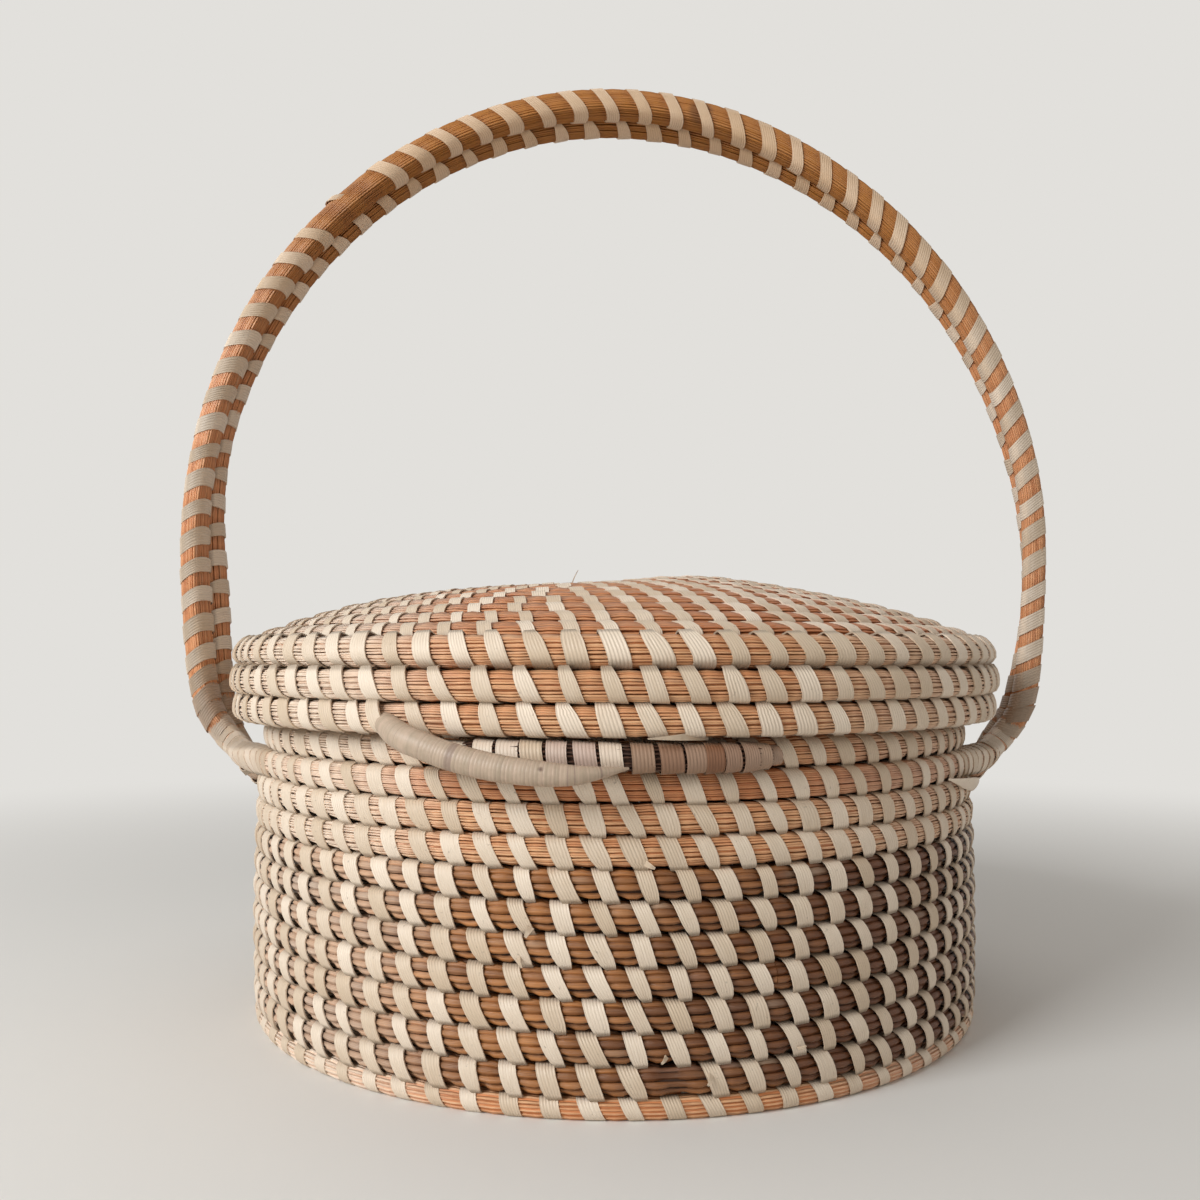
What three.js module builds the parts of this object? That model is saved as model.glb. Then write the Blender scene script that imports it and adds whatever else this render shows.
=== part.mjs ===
// Coiled sweetgrass basket with a fixed arched handle and a loose domed lid.
// Millimetres, +Z up, front towards -Y, origin on the table under the middle of the base.
// Every wall, floor and lid is one long bundle of grass, wound in rounds that are sewn together.

import * as THREE from 'three';

// Coils: thickness of the bundle, measured between its two neighbouring rounds
const WALL_COIL = 7.15;
const FOOT_COIL = 5.0;
const LID_COIL = 7.55;
const HANDLE_COIL_WIDTH = 10.2;
const HANDLE_LEG_DEPTH = 8.2;
const HANDLE_TOP_DEPTH = 9.6;
const ROUND_GAP = 0.45;
const DOME_GAP = 0.6;
const SEAM_GAP = 0.45;
const SEAT_GAP = 0.35;

// Body
const BODY_RADIUS = 115;
const BODY_NARROWING = 0.8;
const BULRUSH_ROUNDS = 7;
const SWEETGRASS_ROUNDS = 2;
const FOOT_INSET = 0.6;
const BASE_CLEARANCE = 0.5;
const RIM_INSET = 1.4;
const NECK_INSET = 1.5;
const NECK_ROUNDS = 3;
const KNOT_CLEARANCE = 0.4;
const LEAST_KNOT_RADIUS = 3.2;

// Lid
const LID_PLAY = 0.6;
const SKIRT_ROUNDS = 3;
const SKIRT_CLEARANCE = 0.55;
const SKIRT_BULGE = 1.0;
const DOME_RISE = 17.9;
const DOME_POWER = 3;
const SHOULDER_ROUNDING = 1.4;
const HUMP_HEIGHT = 2.6;
const HUMP_SPREAD = 24;
const HUMP_X = 28;
const HUMP_Y = -8;

// Handle: outside half width and height, the height where the arch is widest, and how far its
// top stands off the middle
const HANDLE_HALF_WIDTH = 144.4;
const HANDLE_TOP = 301.1;
const HANDLE_BELLY = 147;
const HANDLE_POWER = 1.95;
const HANDLE_LEAN = -2.8;
const HANDLE_LEG_REACH = 205;
const HANDLE_LEG_FOOT = 90;
const HANDLE_POINTS = 72;

// Keeper: a wrapped bow on the front of the rim; angles are in degrees from the front
const BOW_HALF_ANGLE = 22;
const BOW_COIL = 6.0;
const BOW_STANDOFF = 0.6;
const BOW_SWAY = 0.4;
const BOW_END_SHARE = 0.42;
const BOW_THINS_FROM = 0.72;
const BOW_BENDS_FROM = 0.45;
const BOW_STEPS = 24;
const WRAP_SIDES = 6;
const STRIP_THICKNESS = 0.35;
const STRIP_WIDTH = 4.9;
const STRIP_PITCH = 5.75;
const STRIP_CLEARANCE = 0.35;
const WRAP_FROM = -16;
const WRAP_TO = 19;

// Tongue: the wrapped finger on the lid that slips behind the keeper
const TONGUE_COIL = 6.6;
const TONGUE_CLEARANCE = 1.0;
const TONGUE_DROP = 3.6;

// Rounds are polygons: this many sides on wide rounds, half as many on tight ones
const SIDES = 20;
const TIGHT_STEP = 2;
const TIGHT_RADIUS = 62;
const CLIMB_SIDES = 6;
const LEVEL_SIDES = SIDES - CLIMB_SIDES;
const SIDE_ANGLE = (2 * Math.PI) / SIDES;
const BACK = Math.PI / 2;
const FRONT = -Math.PI / 2;
const START_ANGLE = BACK + (CLIMB_SIDES / 2) * SIDE_ANGLE;
const TAPER_SIDES = 4;
const FACET_SHARE = Math.cos(SIDE_ANGLE / 2);
const TIGHT_FACET_SHARE = Math.cos((TIGHT_STEP * SIDE_ANGLE) / 2);

const radians = (degrees) => (degrees * Math.PI) / 180;
const cornerOf = (thickness) => thickness / Math.sqrt(3);
const easing = (share) => (1 - Math.cos(Math.PI * share)) / 2;
const mix = (from, to, share) => from + (to - from) * share;

// Heights and radii that follow from the sizes above
const wallPitch = WALL_COIL + ROUND_GAP;
const wallCorner = cornerOf(WALL_COIL);
const firstWallHeight = FOOT_COIL + ROUND_GAP + WALL_COIL / 2;
const wallRounds = BULRUSH_ROUNDS + SWEETGRASS_ROUNDS;
const handleRoundHeight = firstWallHeight + wallRounds * wallPitch;
const rimHeight = handleRoundHeight + wallPitch;
const rimTop = rimHeight + WALL_COIL / 2;

const wallRadius = (height) => {
  const swell = Math.sin((Math.PI * height) / handleRoundHeight);
  return BODY_RADIUS - wallCorner - BODY_NARROWING * (1 - Math.max(0, swell));
};
const handleRoundRadius = wallRadius(handleRoundHeight);
const rimRadius = handleRoundRadius - RIM_INSET;
const rimOutside = rimRadius + wallCorner;
const footRadius = wallRadius(firstWallHeight) + wallCorner - FOOT_INSET - cornerOf(FOOT_COIL);

const bowCorner = cornerOf(BOW_COIL);
const wrapGrowth = STRIP_CLEARANCE + STRIP_THICKNESS;
const wrapCornerGrowth = wrapGrowth / Math.cos(Math.PI / 6);
const bowRadius = rimOutside + BOW_STANDOFF + wrapCornerGrowth + bowCorner;
const bowOutside = bowRadius + bowCorner + wrapCornerGrowth;
const bowTop = rimHeight + BOW_SWAY + BOW_COIL / 2 + wrapGrowth;

const lidPitch = LID_COIL + ROUND_GAP;
const lidCorner = cornerOf(LID_COIL);
const neckOutside = rimOutside - NECK_INSET;
const shoulderRadius = (neckOutside + LID_PLAY) / FACET_SHARE + lidCorner;
const lowestSkirtHeight = bowTop + SKIRT_CLEARANCE + LID_COIL / 2;
const shoulderHeight = lowestSkirtHeight + (SKIRT_ROUNDS - 1) * lidPitch;
const domeHeight = (radius) =>
  shoulderHeight + DOME_RISE * (1 - Math.pow(radius / shoulderRadius, DOME_POWER));
const humpAt = (x, y) =>
  HUMP_HEIGHT * Math.exp(-((x - HUMP_X) ** 2 + (y - HUMP_Y) ** 2) / (2 * HUMP_SPREAD ** 2));

// Colours and finishes of the plants
const finish = (name, colour, roughness) =>
  new THREE.MeshStandardMaterial({ name, color: colour, roughness, metalness: 0 });
const sweetgrass = () => finish('sweetgrass', 0xc08a52, 0.6);
const bulrush = () => finish('bulrush', 0x8a5430, 0.62);
const palmetto = () => finish('palmetto', 0xdccba4, 0.48);

// Six corners of a coil's section, as [along, across] pairs. Along points to the next round,
// and the two flat sides face the neighbouring rounds.
function hexagon(thickness, corner) {
  const half = thickness / 2;
  return [
    [0, corner],
    [half, corner / 2],
    [half, -corner / 2],
    [0, -corner],
    [-half, -corner / 2],
    [-half, corner / 2],
  ];
}

// A closed body from a row of sections, each a list of the same number of points
function sweep(sections) {
  const corners = sections[0].length;
  const positions = [];
  for (const section of sections) {
    for (const point of section) positions.push(point.x, point.y, point.z);
  }
  const triangles = [];
  for (let i = 0; i + 1 < sections.length; i += 1) {
    for (let k = 0; k < corners; k += 1) {
      const a = i * corners + k;
      const b = i * corners + ((k + 1) % corners);
      triangles.push([a, b, b + corners], [a, b + corners, a + corners]);
    }
  }
  const last = (sections.length - 1) * corners;
  for (let k = 1; k + 1 < corners; k += 1) {
    triangles.push([0, k + 1, k], [last, last + k, last + k + 1]);
  }
  const geometry = new THREE.BufferGeometry();
  geometry.setAttribute('position', new THREE.Float32BufferAttribute(positions, 3));
  const outward = signedVolume(positions, triangles) > 0;
  geometry.setIndex(triangles.flatMap(([a, b, c]) => (outward ? [a, b, c] : [a, c, b])));
  geometry.computeVertexNormals();
  return geometry;
}

function signedVolume(positions, triangles) {
  const at = (index) => new THREE.Vector3().fromArray(positions, index * 3);
  let volume = 0;
  for (const [a, b, c] of triangles) volume += at(a).dot(at(b).cross(at(c)));
  return volume;
}

// The least distance between corners of sections that lie at least half a round apart
function leastGap(sections, apart) {
  let least = Infinity;
  for (let i = 0; i < sections.length; i += 1) {
    for (let j = i + apart; j < sections.length; j += 1) {
      for (const p of sections[i]) {
        for (const q of sections[j]) least = Math.min(least, p.distanceTo(q));
      }
    }
  }
  return least;
}

function reportGap(name, sections, apart) {
  console.log(`${name}: least gap to itself ${leastGap(sections, apart).toFixed(2)} mm`);
}

function aroundAxis(angle, radius, height) {
  return new THREE.Vector3(radius * Math.cos(angle), radius * Math.sin(angle), height);
}

// Which round a coil is in after so many sides: level for most of a round, and climbing to the
// next one over the last few sides, at the back of the basket
function roundAt(side) {
  const round = Math.floor(side / SIDES);
  const inRound = side - round * SIDES;
  return round + easing(Math.max(0, inRound - LEVEL_SIDES) / CLIMB_SIDES);
}

// One section of a wound coil. The place gives radius, height, the angle of the hexagon and the
// direction in which the rounds are stacked; low and high trim the section for a tapered end.
function coilSection(angle, place, thickness, low, high) {
  const corner = cornerOf(thickness);
  const share = (high - low) / thickness;
  const shift = (high + low) / 2;
  const stackR = Math.cos(place.stack);
  const stackZ = Math.sin(place.stack);
  return hexagon(thickness, corner).map(([along, across]) => {
    const r = along * Math.cos(place.turn) - across * Math.sin(place.turn);
    const z = along * Math.sin(place.turn) + across * Math.cos(place.turn);
    const reach = r * stackR + z * stackZ;
    const trimmed = reach * share + shift;
    const radius = place.radius + r + (trimmed - reach) * stackR;
    const height = place.height + z + (trimmed - reach) * stackZ;
    return aroundAxis(angle, radius, height);
  });
}

// Sections of a coil from one side number to another. A tapered start or end fills the wedge
// that the climbing round leaves beside it.
function woundCoil({ from, to, placeAt, thickness, startTaper, endTaper, endGap }) {
  const half = thickness / 2;
  const pitch = thickness + ROUND_GAP;
  const angleAt = (side) => START_ANGLE + side * SIDE_ANGLE;
  const sections = [];
  if (startTaper) {
    const place = placeAt(roundAt(from));
    const step = place.radius < TIGHT_RADIUS ? TIGHT_STEP : 1;
    for (let back = TAPER_SIDES; back > 0; back -= step) {
      const grown = easing(1 - back / CLIMB_SIDES);
      const high = grown * pitch - ROUND_GAP - half;
      sections.push(coilSection(angleAt(from - back), place, thickness, -half, high));
    }
  }
  let side = from;
  while (side < to) {
    const place = placeAt(roundAt(side));
    sections.push(coilSection(angleAt(side), place, thickness, -half, half));
    side += placeAt(Math.floor(side / SIDES)).radius < TIGHT_RADIUS ? TIGHT_STEP : 1;
  }
  const lastPlace = placeAt(endTaper ? Math.floor(to / SIDES) : roundAt(to));
  const lastAngle = angleAt(to) - endGap / lastPlace.radius;
  sections.push(coilSection(lastAngle, lastPlace, thickness, -half, half));
  if (endTaper) {
    for (let on = 1; on <= TAPER_SIDES; on += 1) {
      const left = 1 - easing(on / CLIMB_SIDES);
      const low = half - (left * pitch - ROUND_GAP);
      sections.push(coilSection(angleAt(to + on), lastPlace, thickness, low, half));
    }
  }
  return sections;
}

// Stacked rounds of a wall, counted upwards
const upright = (radius, height) => ({ radius, height, turn: Math.PI / 2, stack: Math.PI / 2 });

const wallPlace = (round) => {
  const height = firstWallHeight + round * wallPitch;
  return upright(wallRadius(height), height);
};

function wallCoil(firstRound, rounds, startTaper, endTaper) {
  const level = endTaper ? LEVEL_SIDES - SIDES : 0;
  return woundCoil({
    from: firstRound * SIDES,
    to: (firstRound + rounds) * SIDES + level,
    placeAt: wallPlace,
    thickness: WALL_COIL,
    startTaper,
    endTaper,
    endGap: endTaper ? 0 : SEAM_GAP,
  });
}

function levelRing(radius, height, thickness) {
  return woundCoil({
    from: 0,
    to: SIDES,
    placeAt: () => upright(radius, height),
    thickness,
    startTaper: false,
    endTaper: false,
    endGap: SEAM_GAP,
  });
}

// Floor: rounds in a flat spiral around a start knot
const floorOutside =
  Math.min(footRadius - cornerOf(FOOT_COIL), wallRadius(firstWallHeight) - wallCorner) - SEAT_GAP;
const floorHeight = BASE_CLEARANCE + wallCorner;
const outerFloorRadius = floorOutside - WALL_COIL / 2;
const floorRounds =
  1 + Math.floor((outerFloorRadius - WALL_COIL / 2 - LEAST_KNOT_RADIUS) / wallPitch);
const innerFloorRadius = outerFloorRadius - (floorRounds - 1) * wallPitch;
const floorKnotRadius = (innerFloorRadius - WALL_COIL / 2) * TIGHT_FACET_SHARE - KNOT_CLEARANCE;

function floorCoil() {
  return woundCoil({
    from: 0,
    to: (floorRounds - 1) * SIDES + LEVEL_SIDES,
    placeAt: (round) => ({
      radius: innerFloorRadius + round * wallPitch,
      height: floorHeight,
      turn: 0,
      stack: 0,
    }),
    thickness: WALL_COIL,
    startTaper: true,
    endTaper: true,
    endGap: 0,
  });
}

// A start knot: a small round button of coiled grass with a flat underside
function knot(radius, underside, top) {
  const edge = (top - underside) / 4;
  const profile = [
    new THREE.Vector2(0, underside),
    new THREE.Vector2(radius - edge / 2, underside),
    new THREE.Vector2(radius, underside + edge),
    new THREE.Vector2(radius, top - edge),
    new THREE.Vector2(radius - edge, top),
    new THREE.Vector2(0, top),
  ];
  return new THREE.LatheGeometry(profile, SIDES / 2);
}

// Lid: places of its rounds, from the innermost round of the dome to the lowest of the skirt
function domeRadii() {
  const radii = [shoulderRadius];
  const least = LID_COIL / 2 + LEAST_KNOT_RADIUS;
  const pitch = LID_COIL + DOME_GAP;
  const slopeAt = (r) => ((DOME_POWER * DOME_RISE) / shoulderRadius) * (r / shoulderRadius) ** 2;
  for (;;) {
    const outer = radii[0];
    const middle = outer - pitch / 2;
    const inner = outer - pitch / Math.hypot(1, slopeAt(middle));
    if (inner < least) return radii;
    radii.unshift(inner);
  }
}

const lidRadii = domeRadii();
const shoulderRound = lidRadii.length - 1;
const innerDomeRadius = lidRadii[0];
const SKIRT_TURN = -Math.PI / 6;

const domeTurn = (radius) => {
  const slope = ((DOME_POWER * DOME_RISE) / shoulderRadius) * (radius / shoulderRadius) ** 2;
  return -Math.atan(slope);
};

// Rounds that climb past the shoulder swell out a little, so that they don't cut its corner
const shoulderSwell = (share) => SHOULDER_ROUNDING * Math.sin(Math.PI * share);

function lidPlace(round) {
  if (round >= shoulderRound) {
    const below = round - shoulderRound;
    const bulge = SKIRT_BULGE * Math.sin((Math.PI * below) / (SKIRT_ROUNDS - 1));
    const radius = shoulderRadius + bulge + (below < 1 ? shoulderSwell(below) : 0);
    const height = shoulderHeight - below * lidPitch;
    return { radius, height, turn: SKIRT_TURN, stack: -Math.PI / 2 };
  }
  const whole = Math.floor(round);
  const share = round - whole;
  const outerTurn = whole + 1 === shoulderRound ? SKIRT_TURN : domeTurn(lidRadii[whole + 1]);
  const radius = mix(lidRadii[whole], lidRadii[whole + 1], share);
  const turn = mix(domeTurn(lidRadii[whole]), outerTurn, share);
  const swell = whole + 1 === shoulderRound ? shoulderSwell(share) : 0;
  const height = mix(domeHeight(lidRadii[whole]), domeHeight(lidRadii[whole + 1]), share) + swell;
  return { radius, height, turn, stack: turn };
}

function liftedByHump(sections) {
  for (const section of sections) {
    for (const point of section) point.z += humpAt(point.x, point.y);
  }
  return sections;
}

function domeCoil() {
  return liftedByHump(
    woundCoil({
      from: 0,
      to: shoulderRound * SIDES,
      placeAt: lidPlace,
      thickness: LID_COIL,
      startTaper: true,
      endTaper: false,
      endGap: SEAM_GAP,
    }),
  );
}

function skirtCoil() {
  return liftedByHump(
    woundCoil({
      from: shoulderRound * SIDES,
      to: (shoulderRound + SKIRT_ROUNDS - 1) * SIDES + LEVEL_SIDES,
      placeAt: lidPlace,
      thickness: LID_COIL,
      startTaper: false,
      endTaper: true,
      endGap: 0,
    }),
  );
}

// Neck: a thinner coil inside the lid, as high as the underside of the outermost dome round
const domeSections = domeCoil();
const overNeck = domeSections
  .slice(-SIDES - CLIMB_SIDES)
  .flat()
  .filter((point) => Math.hypot(point.x, point.y) < neckOutside + LID_PLAY);
const domeUnderside = Math.min(...overNeck.map((point) => point.z));
const neckPitch = (domeUnderside - SEAT_GAP - rimTop) / NECK_ROUNDS;
const neckCoilThickness = neckPitch - ROUND_GAP;
const neckRadius = neckOutside - cornerOf(neckCoilThickness);

function neckCoil() {
  return woundCoil({
    from: 0,
    to: (NECK_ROUNDS - 1) * SIDES + LEVEL_SIDES,
    placeAt: (round) => upright(neckRadius, rimTop + neckPitch * (round + 0.5) + ROUND_GAP / 2),
    thickness: neckCoilThickness,
    startTaper: true,
    endTaper: true,
    endGap: 0,
  });
}

// Handle: two coils side by side. Each runs round half of the body under the rim, leaves the
// wall at both sides and rises into the arch. Foot points are the angle in front of or behind
// the side, the distance outside the round, and the height above it.
const FRONT_FOOT = [
  [28, 0, 0],
  [20, 1.9, 0],
  [10, 9.2, 0.2],
  [5, 13.0, 1.4],
  [2.4, 18.6, 5.2],
];
const REAR_FOOT = [
  [38, 0, 0],
  [28.5, 2.6, 0.3],
  [20.5, 9.4, -1.6],
  [12.5, 11.2, -7.6],
  [7, 12.0, -9.4],
  [3.4, 14.6, -4.6],
  [2.2, 19.3, 4.0],
];
const HANDLE_RING_STEP = 13;
const ARCH_POINTS = 20;

// The two coils of the arch twist about each other. Each entry is an angle round the arch from
// its right side, and how far the rear coil is turned in there, both in degrees.
const HANDLE_TWIST = [
  [-23, -6],
  [-8, -20],
  [14, -9],
  [90, 7],
  [166, 1],
  [188, 16],
  [203, 6],
];

const archHalfWidth = HANDLE_HALF_WIDTH - HANDLE_LEG_DEPTH / 2;
const archRise = HANDLE_TOP - HANDLE_TOP_DEPTH / 2 - HANDLE_BELLY;

// The direction from the front coil of the arch to the rear one, at a point of the arch
function pairDirection(x, z) {
  const angle = THREE.MathUtils.radToDeg(Math.atan2(z - HANDLE_BELLY, x));
  const around = angle < -90 ? angle + 360 : angle;
  const last = HANDLE_TWIST.length - 1;
  const next = HANDLE_TWIST.findIndex(([place]) => place > around);
  const after = next < 0 ? last : Math.max(next, 1);
  const [fromPlace, fromTwist] = HANDLE_TWIST[after - 1];
  const [toPlace, toTwist] = HANDLE_TWIST[after];
  const share = THREE.MathUtils.clamp((around - fromPlace) / (toPlace - fromPlace), 0, 1);
  const twist = radians(mix(fromTwist, toTwist, share));
  const inward = new THREE.Vector3(-x, 0, Math.min(0, HANDLE_BELLY - z)).normalize();
  return inward.multiplyScalar(Math.sin(twist)).add(new THREE.Vector3(0, Math.cos(twist), 0));
}

// A point of the arch, on its front coil or on its rear one
function archPoint(share, towards) {
  const lowest = Math.asin((HANDLE_BELLY - HANDLE_LEG_FOOT) / HANDLE_LEG_REACH);
  const angle = mix(-lowest, Math.PI - -lowest, share);
  const wide = Math.sign(Math.cos(angle)) * Math.abs(Math.cos(angle)) ** (2 / HANDLE_POWER);
  const high = Math.sign(Math.sin(angle)) * Math.abs(Math.sin(angle)) ** (2 / HANDLE_POWER);
  const reach = high > 0 ? archRise : HANDLE_LEG_REACH;
  const x = archHalfWidth * wide + HANDLE_LEAN * Math.max(0, high);
  const z = HANDLE_BELLY + reach * high;
  const spacing = HANDLE_COIL_WIDTH + SEAM_GAP;
  const apart = pairDirection(x, z).multiplyScalar(spacing);
  const point = new THREE.Vector3(x, -apart.y / 2, z);
  return towards > 0 ? point.add(apart) : point;
}

function handlePath(foot, towards) {
  const side = (sign) =>
    foot.map(([degrees, out, up]) => {
      const place = aroundAxis(radians(degrees), handleRoundRadius + out, handleRoundHeight + up);
      return new THREE.Vector3(sign * place.x, towards * place.y, place.z);
    });
  const ring = (sign) => {
    const points = [];
    const start = SEAM_GAP / 2 / handleRoundRadius;
    const end = radians(90 - foot[0][0]);
    const steps = Math.round(end / radians(HANDLE_RING_STEP));
    for (let k = 0; k < steps; k += 1) {
      const angle = mix(start, end, k / steps);
      const x = sign * handleRoundRadius * Math.sin(angle);
      const y = towards * handleRoundRadius * Math.cos(angle);
      points.push(new THREE.Vector3(x, y, handleRoundHeight));
    }
    return points;
  };
  const arch = [];
  for (let k = 0; k <= ARCH_POINTS; k += 1) arch.push(archPoint(k / ARCH_POINTS, towards));
  return [...ring(1), ...side(1), ...arch, ...side(-1).reverse(), ...ring(-1).reverse()];
}

// The section's flat direction faces the other coil in the arch. It is carried on from there to
// both ends and rolls level over the foot, so that the flat sides lie against the rounds above
// and below.
function handleCoil(foot, towards) {
  const curve = new THREE.CatmullRomCurve3(handlePath(foot, towards), false, 'centripetal');
  curve.arcLengthDivisions = HANDLE_POINTS * 20;
  const points = curve.getSpacedPoints(HANDLE_POINTS);
  const tangents = points.map((_, i) => curve.getTangentAt(i / HANDLE_POINTS));
  const onRing = (i) => Math.abs(points[i].y) > handleRoundRadius * Math.sin(radians(foot[0][0]));
  const inArch = (i) => points[i].z > HANDLE_LEG_FOOT;
  const top = Math.floor(HANDLE_POINTS / 2);
  const flats = new Array(points.length);
  const facing = (i) => pairDirection(points[i].x, points[i].z).multiplyScalar(towards);
  flats[top] = facing(top).projectOnPlane(tangents[top]).normalize();
  const level = new THREE.Vector3(0, 0, 1);
  for (const way of [1, -1]) {
    for (let i = top + way; points[i]; i += way) {
      const wanted = inArch(i) ? facing(i) : flats[i - way].clone();
      flats[i] = wanted.projectOnPlane(tangents[i]).normalize();
    }
    const footRange = [];
    for (let i = top; points[i]; i += way) {
      if (!inArch(i) && !onRing(i)) footRange.push(i);
    }
    const ringStart = footRange[footRange.length - 1];
    const wanted = level.clone().projectOnPlane(tangents[ringStart]).normalize();
    const turned = flats[ringStart].clone().cross(wanted).dot(tangents[ringStart]);
    const roll = Math.atan2(turned, flats[ringStart].dot(wanted));
    footRange.forEach((i, k) => {
      flats[i].applyAxisAngle(tangents[i], roll * easing((k + 1) / footRange.length));
    });
    for (let i = ringStart + way; points[i]; i += way) flats[i] = level.clone();
  }
  return points.map((point, i) => {
    const across = tangents[i].clone().cross(flats[i]).normalize();
    const raised = THREE.MathUtils.smoothstep(point.z, handleRoundHeight, HANDLE_LEG_FOOT);
    const risen = THREE.MathUtils.smoothstep(point.z, HANDLE_BELLY, HANDLE_TOP);
    const depth = mix(HANDLE_LEG_DEPTH, HANDLE_TOP_DEPTH, risen);
    const width = onRing(i) ? WALL_COIL : mix(WALL_COIL, HANDLE_COIL_WIDTH, raised);
    const corner = onRing(i) ? wallCorner : mix(wallCorner, depth / 2, raised);
    return hexagon(width, corner).map(([along, out]) =>
      point.clone().addScaledVector(flats[i], along).addScaledVector(across, out),
    );
  });
}

// Short coils with free ends: each station is an angle in degrees, a radius, a height and a
// share of the full thickness
function shortCoil(stations, thickness, turn) {
  return stations.map(([degrees, radius, height, share]) => {
    const place = { radius, height, turn, stack: turn };
    const half = (thickness * share) / 2;
    return coilSection(radians(degrees), place, 2 * half, -half, half);
  });
}

// The filler closes the wall between the two handle coils where they leave it. Each station is
// the angle behind the side and the share of the full thickness.
const FILLER_STATIONS = [
  [-19, 0.2],
  [-15, 0.52],
  [-10.5, 1],
  [0, 1],
  [20, 1],
  [24.5, 0.55],
  [29, 0.2],
];

function filler(sideDegrees, turnToRear) {
  const stations = FILLER_STATIONS.map(([degrees, share]) => {
    const inset = wallCorner * (1 - share);
    const angle = sideDegrees + turnToRear * degrees;
    return [angle, handleRoundRadius - inset, handleRoundHeight, share];
  });
  return shortCoil(stations, WALL_COIL, Math.PI / 2);
}

// Keeper bow: its middle stands off the rim and its thin ends lie on it
function bowPlace(degrees) {
  const outwards = Math.abs(degrees) / BOW_HALF_ANGLE;
  const nearEnd = (from) => easing(Math.max(0, outwards - from) / (1 - from));
  const share = mix(1, BOW_END_SHARE, nearEnd(BOW_THINS_FROM));
  const endRadius = rimOutside + SEAT_GAP + bowCorner * BOW_END_SHARE;
  const radius = mix(bowRadius, endRadius, nearEnd(BOW_BENDS_FROM));
  const height = rimHeight - BOW_SWAY * Math.sin((Math.PI * degrees) / BOW_HALF_ANGLE);
  const clear = rimOutside + SEAT_GAP + (bowCorner + wrapCornerGrowth) * share;
  return { radius: Math.max(radius, clear), height, share };
}

function keeperBow() {
  const stations = [];
  for (let k = 0; k <= BOW_STEPS; k += 1) {
    const degrees = mix(-BOW_HALF_ANGLE, BOW_HALF_ANGLE, k / BOW_STEPS);
    const { radius, height, share } = bowPlace(degrees);
    stations.push([degrees - 90, radius, height, share]);
  }
  return shortCoil(stations, BOW_COIL, Math.PI / 2);
}

// Keeper wrap: one palmetto strip wound round the bow, with as many sides a turn as the bow
function keeperWrap() {
  const degreesPerMillimetre = 180 / Math.PI / bowRadius;
  const turns = Math.floor((WRAP_TO - WRAP_FROM) / (STRIP_PITCH * degreesPerMillimetre));
  const cornerPoint = (degrees, spin, growth) => {
    const { radius, height, share } = bowPlace(degrees);
    const reach = bowCorner * share + growth / Math.cos(Math.PI / 6);
    const out = reach * Math.cos(spin);
    return aroundAxis(radians(degrees) + FRONT, radius + out, height + reach * Math.sin(spin));
  };
  const sections = [];
  for (let k = 0; k <= turns * WRAP_SIDES; k += 1) {
    const spin = (k / WRAP_SIDES) * 2 * Math.PI;
    const middle = WRAP_FROM + (k / WRAP_SIDES) * STRIP_PITCH * degreesPerMillimetre;
    const half = (STRIP_WIDTH / 2) * degreesPerMillimetre;
    sections.push([
      cornerPoint(middle - half, spin, STRIP_CLEARANCE),
      cornerPoint(middle + half, spin, STRIP_CLEARANCE),
      cornerPoint(middle + half, spin, wrapGrowth),
      cornerPoint(middle - half, spin, wrapGrowth),
    ]);
  }
  return sections;
}

// Tongue: grows out of the lowest skirt round, sweeps down in front of the keeper bow, and its
// springy tip turns in under the bow
const tongueRadius = bowOutside + TONGUE_CLEARANCE + TONGUE_COIL / 2;
const tongueRootRadius = shoulderRadius + lidCorner + SEAT_GAP + TONGUE_COIL / 2;
const tongueLevel = rimHeight - TONGUE_DROP;
const TIP_SHARE = 0.74;

const tongueStations = [
  [-28.5, tongueRootRadius - 1.2, lowestSkirtHeight - 0.4, 0.6],
  [-26, Math.max(tongueRadius, tongueRootRadius) - 0.3, lowestSkirtHeight - 2.2, 0.94],
  [-23.5, tongueRadius, tongueLevel + 8.3, 1],
  [-21, tongueRadius, tongueLevel + 6.3, 1],
  [-18, tongueRadius, tongueLevel + 4.4, 1],
  [-15, tongueRadius, tongueLevel + 2.8, 1],
  [-12, tongueRadius, tongueLevel + 1.6, 0.97],
  [-9, tongueRadius, tongueLevel + 0.8, 0.92],
  [-6.5, tongueRadius, tongueLevel + 0.3, 0.85],
  [-4.6, tongueRadius, tongueLevel, TIP_SHARE],
];

const bowUnderside = rimHeight - BOW_COIL / 2 - wrapGrowth;
const tipHeight = bowUnderside - SEAT_GAP - 0.38 * (TONGUE_COIL / 2);
const tipEndRadius = handleRoundRadius + wallCorner + SEAT_GAP + 0.5;

const tipStations = [
  [-4.35, tongueRadius - 0.1, tongueLevel - 0.05, TIP_SHARE],
  [-3, tongueRadius - 2.2, mix(tongueLevel, tipHeight, 0.7), 0.52],
  [-1.4, bowRadius + 3, tipHeight, 0.38],
  [0.6, bowRadius, tipHeight + 0.1, 0.27],
  [2.6, tipEndRadius, tipHeight + 0.2, 0.14],
];

const onFront = (stations) => stations.map(([degrees, ...rest]) => [degrees - 90, ...rest]);

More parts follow.
